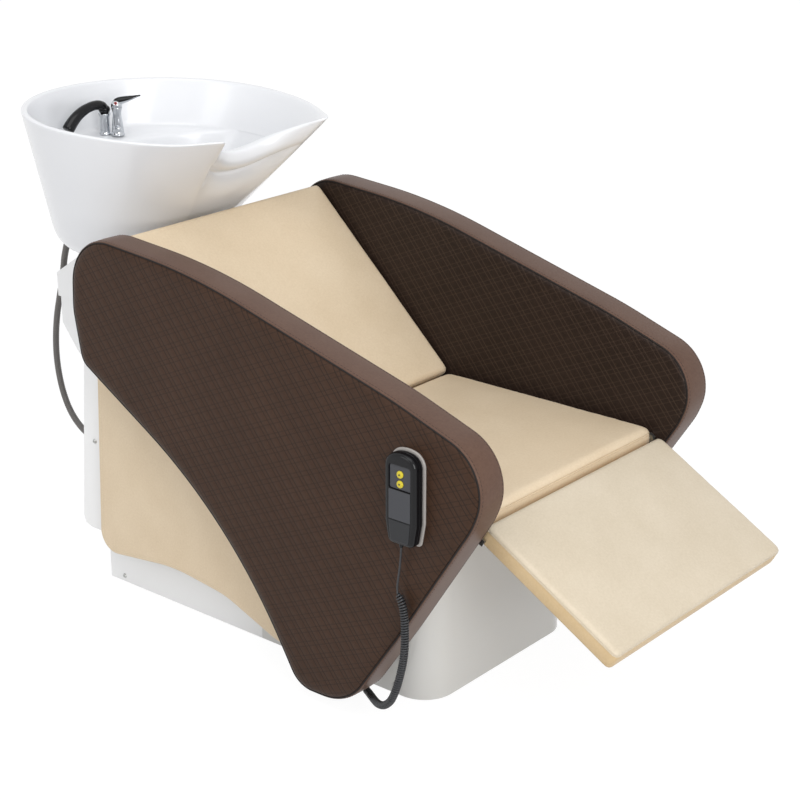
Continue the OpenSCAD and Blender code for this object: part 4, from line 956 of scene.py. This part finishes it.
def makeBasin(plan):
    count = plan["sidePoints"] + plan["neckPoints"]
    wall, outside, inside = plan["wall"], plan["neckOutside"], plan["neckInside"]
    foot, footMiddle, waist = plan["base"][0][0], plan["base"][0][2], plan["base"][-1][0]
    hole, floorZ, deckTop, wasteAt = plan["wasteHole"], plan["floor"], plan["deckTop"], plan["wasteAt"]

    def share(q, depth, neck, drop=0.0):
        return [basinPoint(plan, k, waist + (basinTop(plan, k) - waist) * q - drop, depth, math.inf, neck)
                for k in range(count)]

    def level(z, depth, neck, cut=math.inf):
        return [basinPoint(plan, k, z, depth, cut, neck) for k in range(count)]

    def roundHole(radius, z, like):
        ring = []
        for p in like:
            angle = math.atan2(p.y - wasteAt, p.x)
            ring.append(Vector((radius * math.cos(angle), wasteAt + radius * math.sin(angle), z)))
        return ring

    bottom = level(foot, 0, outside)
    cuts = [plan["deckFront"] - i * plan["deckLean"] for i in range(len(plan["deck"]))]
    floor = level(floorZ, wall + plan["deck"][-1][1], inside, cuts[-1])
    rings = [roundHole(hole, foot + 0.2, bottom), roundHole(hole + 4, foot, bottom),
             [p.lerp(Vector((0, footMiddle, foot)), 0.25) for p in bottom], bottom]
    rings += [level(row[0], 0, outside) for row in plan["base"][1:]]
    rings += [share(q, 0, outside) for q in plan["outsideLevels"]]
    rings += [share(1, depth, neck, drop) for depth, neck, drop in (
        (0.3, outside, 3.4), (1.2, outside, 1.5), (wall * 0.35, outside, 0.2),
        (wall * 0.65, inside, 0.2), (wall - 1.2, inside, 1.5), (wall - 0.3, inside, 3.4))]
    rings += [share(q, wall, inside) for q in plan["insideLevels"]]
    rings += [level(deckTop + 4, wall, inside), level(deckTop + 0.8, wall + 1.5, inside)]
    rings += [level(deckTop - drop, wall + depth, inside, cut)
              for (drop, depth), cut in zip(plan["deck"], cuts)]
    recess = floorZ - plan["recess"]
    rings.append([p.lerp(Vector((0, wasteAt, floorZ)), 0.35) for p in floor])
    rings += [roundHole(hole + more, z, floor) for more, z in (
        (12, floorZ), (9, floorZ - 0.6), (8, recess + 0.5), (7, recess), (0.8, recess), (0, recess - 1),
        (0, plan["wasteEnd"]))]
    subdivide(standIn("fireclayBasin", skin(rings + rings[:1], capped=False), "glazedFireclay", "basin_tilt",
                      "white_fireclay", "basin"))


makeBasin(basinPlan)
print("basin made")


# Tap, hand shower and their seat on the deck

tapPlan = {
    "at": (41, 622, 845.8), "turn": -42, "sides": 40,
    "body": [(0, 0), (13.4, 0), (14, 0.7), (14, 3.2), (13.2, 4.2), (12.6, 5), (12.2, 10), (11.4, 20),
             (10.0, 32), (8.7, 41), (8.5, 45), (8.9, 49), (10.2, 54), (11.3, 57.4), (10.7, 58.2), (0, 58.2)],
    "spout": [(0, 0, 16), (-5, -6.4, 17), (-10, -12.8, 17.2), (-14, -17.9, 16.4), (-15.4, -19.7, 15.4)],
    "spoutWide": [7, 6.6, 6, 5.2, 4.6],
    "cap": [(0, 58.5), (10.9, 58.5), (11.5, 59.3), (11.5, 64.5), (10.8, 67), (9.0, 70), (6.8, 72.3),
            (3.5, 73.2), (0, 73.4)],
    # Reach, half width, height, thickness
    "lever": [(-7, 5.4, 1.0, 4.6), (0, 7.6, 1.6, 8.2), (8, 8.6, 2.6, 9.4), (18, 8.4, 4.8, 8.0),
              (28, 7.4, 7.2, 6.0), (38, 5.8, 10.0, 3.8), (46, 3.8, 12.2, 2.2), (50, 2.2, 13.3, 1.3)],
    "leverUp": 68.3,
    # The enamelled mark on the cap: place, tilt and turn, the way it faces; radius and height of each disc
    "markAt": (-7.9, -6.2, 68.2), "markTilt": 62, "markTurn": -52, "markFaces": (-0.696, -0.544, 0.469),
    "marks": {"Ring": (3.1, 0.3), "Centre": (1.5, 0.7)}, "markSunk": -0.8,
}
showerPlan = {
    "at": (31, 649, 845.8), "sides": 32,
    "seat": [(7, 0.2), (12.2, 0), (12.5, 0.7), (12.5, 3.2), (11.4, 4.2), (11, 6), (10.1, 34), (10.4, 36),
             (12.8, 42.6), (12.8, 44), (8, 44), (7, 42)],
    "collar": [(6.4, 30), (6.4, 44.2), (9.2, 44.5), (11.8, 49), (12.4, 52), (11.6, 56), (8.4, 60), (0, 62)],
    # Middle line from the seat's top, and radius
    "seatTop": 44.3,
    "handle": [(3, 0, 7, 9), (-4, 0, 15, 10.4), (-14, 0, 19, 10.5), (-27, 0, 20, 10), (-40, 0, 18, 10),
               (-52, 0, 15, 10.5), (-63, 0, 10.4, 11), (-73, 0, 5, 11.5), (-82, 0, -1.7, 12),
               (-90, 0, -9, 12.5), (-96, 0, -15.6, 12.9), (-99, 0, -19, 12.6), (-100.6, 0, -20.8, 11.4)],
}


def shifted(parts, by, turn=0.0):
    c, s = math.cos(math.radians(turn)), math.sin(math.radians(turn))
    points, faces = parts
    return [(p[0] * c - p[1] * s + by[0], p[0] * s + p[1] * c + by[1], p[2] + by[2]) for p in points], faces


def makeTap(plan):
    at = plan["at"]
    body = lathe(plan["body"], plan["sides"])
    spout = sweep([Vector(p) for p in plan["spout"]], plan["spoutWide"], 20)
    standIn("tapBody", shifted(joined([body, spout]), at), "chromePlate", "basin_tilt", "chrome", "tap_body")
    standIn("tapCap", shifted(lathe(plan["cap"], plan["sides"]), at), "chromePlate", "tap_cap", "chrome",
            "tap_cap")
    top, under = [], []
    for x, half, z, thick in plan["lever"]:
        top.append([(x, half * c, z + max(-0.2, s) * thick) for c, s in circle(12)])
        under.append([(x, half * 0.96 * c, z - 0.3 + min(0.1, s) * thick * 0.8) for c, s in circle(12)])
    hub = [at[0], at[1], at[2] + plan["leverUp"]]
    lever = shifted(skin(top), hub, plan["turn"])
    subdivide(standIn("tapLever", lever, "blackGlossAbs", "tap_lever", "black_gloss", "tap_lever"))
    lining = shifted(skin(under), hub, plan["turn"])
    subdivide(tidyNormals(piece("tapLeverUnderside", *lining, "chromePlate", "tap_lever", "chrome")))
    tilt = Matrix.Rotation(math.radians(plan["markTilt"]), 3, "X")
    turn = Matrix.Rotation(math.radians(plan["markTurn"]), 3, "Z")
    for word, (reach, high) in plan["marks"].items():
        turned = [turn @ (tilt @ Vector((reach * c, reach * s, 0))) for c, s in circle(24)]
        disc = skin([[p + Vector(plan["markAt"]) + Vector(plan["markFaces"]) * h for p in turned]
                     for h in (plan["markSunk"], high)])
        piece("tapMark" + word, *shifted(disc, at), "enamel" + word, "tap_cap", "chrome")


def makeShower(plan):
    at = plan["at"]
    seat = shifted(lathe(plan["seat"], plan["sides"]), at)
    standIn("showerSeat", seat, "chromePlate", "basin_tilt", "chrome", "shower_holder")
    line = [Vector(p[:3]) + Vector((0, 0, plan["seatTop"])) for p in plan["handle"]]
    tube = sweep(line, [p[3] for p in plan["handle"]], 18)
    shower = shifted(joined([lathe(plan["collar"], plan["sides"]), tube]), at)
    subdivide(standIn("handShower", shower, "blackGlossAbs", "hand_shower", "black_gloss", "hand_shower"), 1)


makeTap(tapPlan)
makeShower(showerPlan)
print("tap and hand shower made")


# Handset: two glossy half shells, a recess with two buttons, and two plates below it

remotePlan = {
    # Outlines are seen from the front, from the foot's middle; heights are above the back plate
    "at": (-343.3, -478, 388), "wide": 66, "tall": 160, "face": 26,
    # (depth in from the outline, height)
    "shell": [(9, 5.3), (3, 5.3), (1, 5.8), (0.2, 7.4), (0, 10), (0, 13.6), (0.7, 14.0), (0.7, 14.5),
              (0, 14.9), (0.2, 20), (1.0, 23), (2.6, 25), (4.6, 25.8), (7, 26)],
    "backPlate": [(-1, 0.2), (-2.4, 0.6), (-3, 1.8), (-3, 3.4), (-2.5, 4.3), (-1.4, 4.7)],
    # The cord's sleeve: its place, then (up, radius)
    "cordAt": (-6, 14),
    "relief": [(5, 4.4), (0.5, 4.4), (-1, 4.2), (-2.2, 3.7), (-3.4, 4.0), (-4.6, 3.5), (-5.8, 3.7), (-7, 3.1),
               (-8, 3.2), (-8.8, 2.3)],
    "recess": (-23, 23, 98, 141, 3.2),
    # Corners, height of the face, roundness of the edge, finish and slot
    "plates": {
        "handsetCoverPlate": ([(-22.5, 45, 1.5), (22.5, 45, 1.5), (22.5, 97, 1.5), (-22.5, 97, 1.5)], 26.9,
                              0.5, "greyGlossAbs", "dark_grey_matt"),
        "handsetLowerPlate": ([(-19, 6, 4), (19, 6, 4), (22.5, 43, 1.5), (-22.5, 43, 1.5)], 27.2, 0.8,
                              "gripAbs", "black_gloss"),
    },
    "platesFrom": 24.5,
    "buttons": {"up": (125.5, 1), "down": (108.5, -1)}, "button": 13,
    "cap": [(0, 17), (0, 25.0), (0.3, 25.9), (1.0, 26.4), (2.4, 26.6)],
    # The arrow: half its width, foot and tip from its middle, lower and upper height
    "arrow": (2.4, 1.4, 2.4, 26.4, 26.8),
}


def remoteOutline(plan, depth):
    # Anticlockwise from the right: a broad dome on top, straight sides, and a foot that tapers in
    x, top = plan["wide"] / 2 - depth, plan["tall"] - depth
    corners = [(x, 40, 0), (x, top - 4, 24 - depth), (0, top + 3, 58 - depth), (-x, top - 4, 24 - depth),
               (-x, 40, 30), (-x * 0.78, depth, 9), (x * 0.78, depth, 9), (x, 40, 30), (x, top, 0)]
    return [p for i in range(1, 8)
            for p in cornerArc(corners[i - 1], corners[i], corners[i + 1], corners[i][2], 7)]


def onRemote(plan, x, y, z):
    ax, ay, az = plan["at"]
    return Vector((ax - z, ay - x, az + y))


def remoteForm(plan, section):
    return skin([[onRemote(plan, p.x, p.y, z) for p in remoteOutline(plan, depth)] for depth, z in section])


def remoteSlab(plan, outline, low, high, edge):
    # A plate with soft edges, lying on the handset's face
    section = [(edge * 0.3, low), (0, low + edge * 0.3), (0, high - edge), (edge * 0.3, high - edge * 0.3),
               (edge, high)]
    return skin([[onRemote(plan, p.x, p.y, z) for p in inset(outline, depth)] for depth, z in section])


def makeRemote(plan):
    shell = piece("handsetShell", *remoteForm(plan, plan["shell"]), "blackGlossAbs", "remote", "black_gloss")
    tidyNormals(shell)
    standIn("handsetBackPlate", remoteForm(plan, plan["backPlate"]), "paleGreyAbs", "base", "grey_pvc",
            "remote_holder")
    x0, x1, y0, y1, drop = plan["recess"]
    sunk = plan["face"] - drop
    hollow = roundedOutline([(x0, y0, 3), (x1, y0, 3), (x1, y1, 5), (x0, y1, 5)], 6)
    cutter = piece("recessCutter", *remoteSlab(plan, hollow, sunk, plan["face"] + 4, 0.4), "darkMattAbs",
                   "remote")
    tidyNormals(cutter)
    cut = shell.modifiers.new("recess", "BOOLEAN")
    cut.object, cut.operation, cut.solver = cutter, "DIFFERENCE", "EXACT"
    bpy.context.view_layer.update()
    carved = bpy.data.meshes.new_from_object(shell.evaluated_get(bpy.context.evaluated_depsgraph_get()))
    shell.modifiers.clear()
    shell.data = carved
    for polygon in carved.polygons:
        polygon.use_smooth = True
    bpy.data.objects.remove(cutter)
    split = shell.modifiers.new("creases", "EDGE_SPLIT")
    split.split_angle = math.radians(38)
    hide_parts("remote_casing")

    # The moulded sleeve that keeps the cord from kinking where it leaves the casing
    x, z = plan["cordAt"]
    sleeve = sweep([onRemote(plan, x, y, z) for y, r in plan["relief"]], [r for y, r in plan["relief"]], 20)
    piece("handsetStrainRelief", *sleeve, "blackGlossAbs", "remote", "black_gloss")
    bed = remoteSlab(plan, inset(hollow, 0.8), sunk + 0.1, sunk + 1.0, 0.3)
    pad = piece("handsetButtonBed", *bed, "greyGlossAbs", "remote", "dark_grey_matt", smooth=False)
    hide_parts("remote_keypad")
    for name, (corners, high, edge, finish, slot) in plan["plates"].items():
        plate = remoteSlab(plan, roundedOutline(corners, 4), plan["platesFrom"], high, edge)
        piece(name, *plate, finish, "remote", slot, smooth=False)
    across, foot, tip, low, high = plan["arrow"]
    for word, (y, point) in plan["buttons"].items():
        rings = [[onRemote(plan, (plan["button"] / 2 - d) * c, y + (plan["button"] / 2 - d) * s, z)
                  for c, s in circle(32)] for d, z in plan["cap"]]
        body = "button_" + word
        standIn(body + "_cap", skin(rings), "yellowAbs", body, "yellow_gloss", body)
        arrow = [(-across, -foot * point), (across, -foot * point), (0, tip * point)][::point]
        mark = skin([[onRemote(plan, ax, y + ay, z) for ax, ay in arrow] for z in (low, high)])
        piece(body + "_arrow", *mark, "darkMattAbs", body, "yellow_gloss", smooth=False)


makeRemote(remotePlan)
print("handset made")
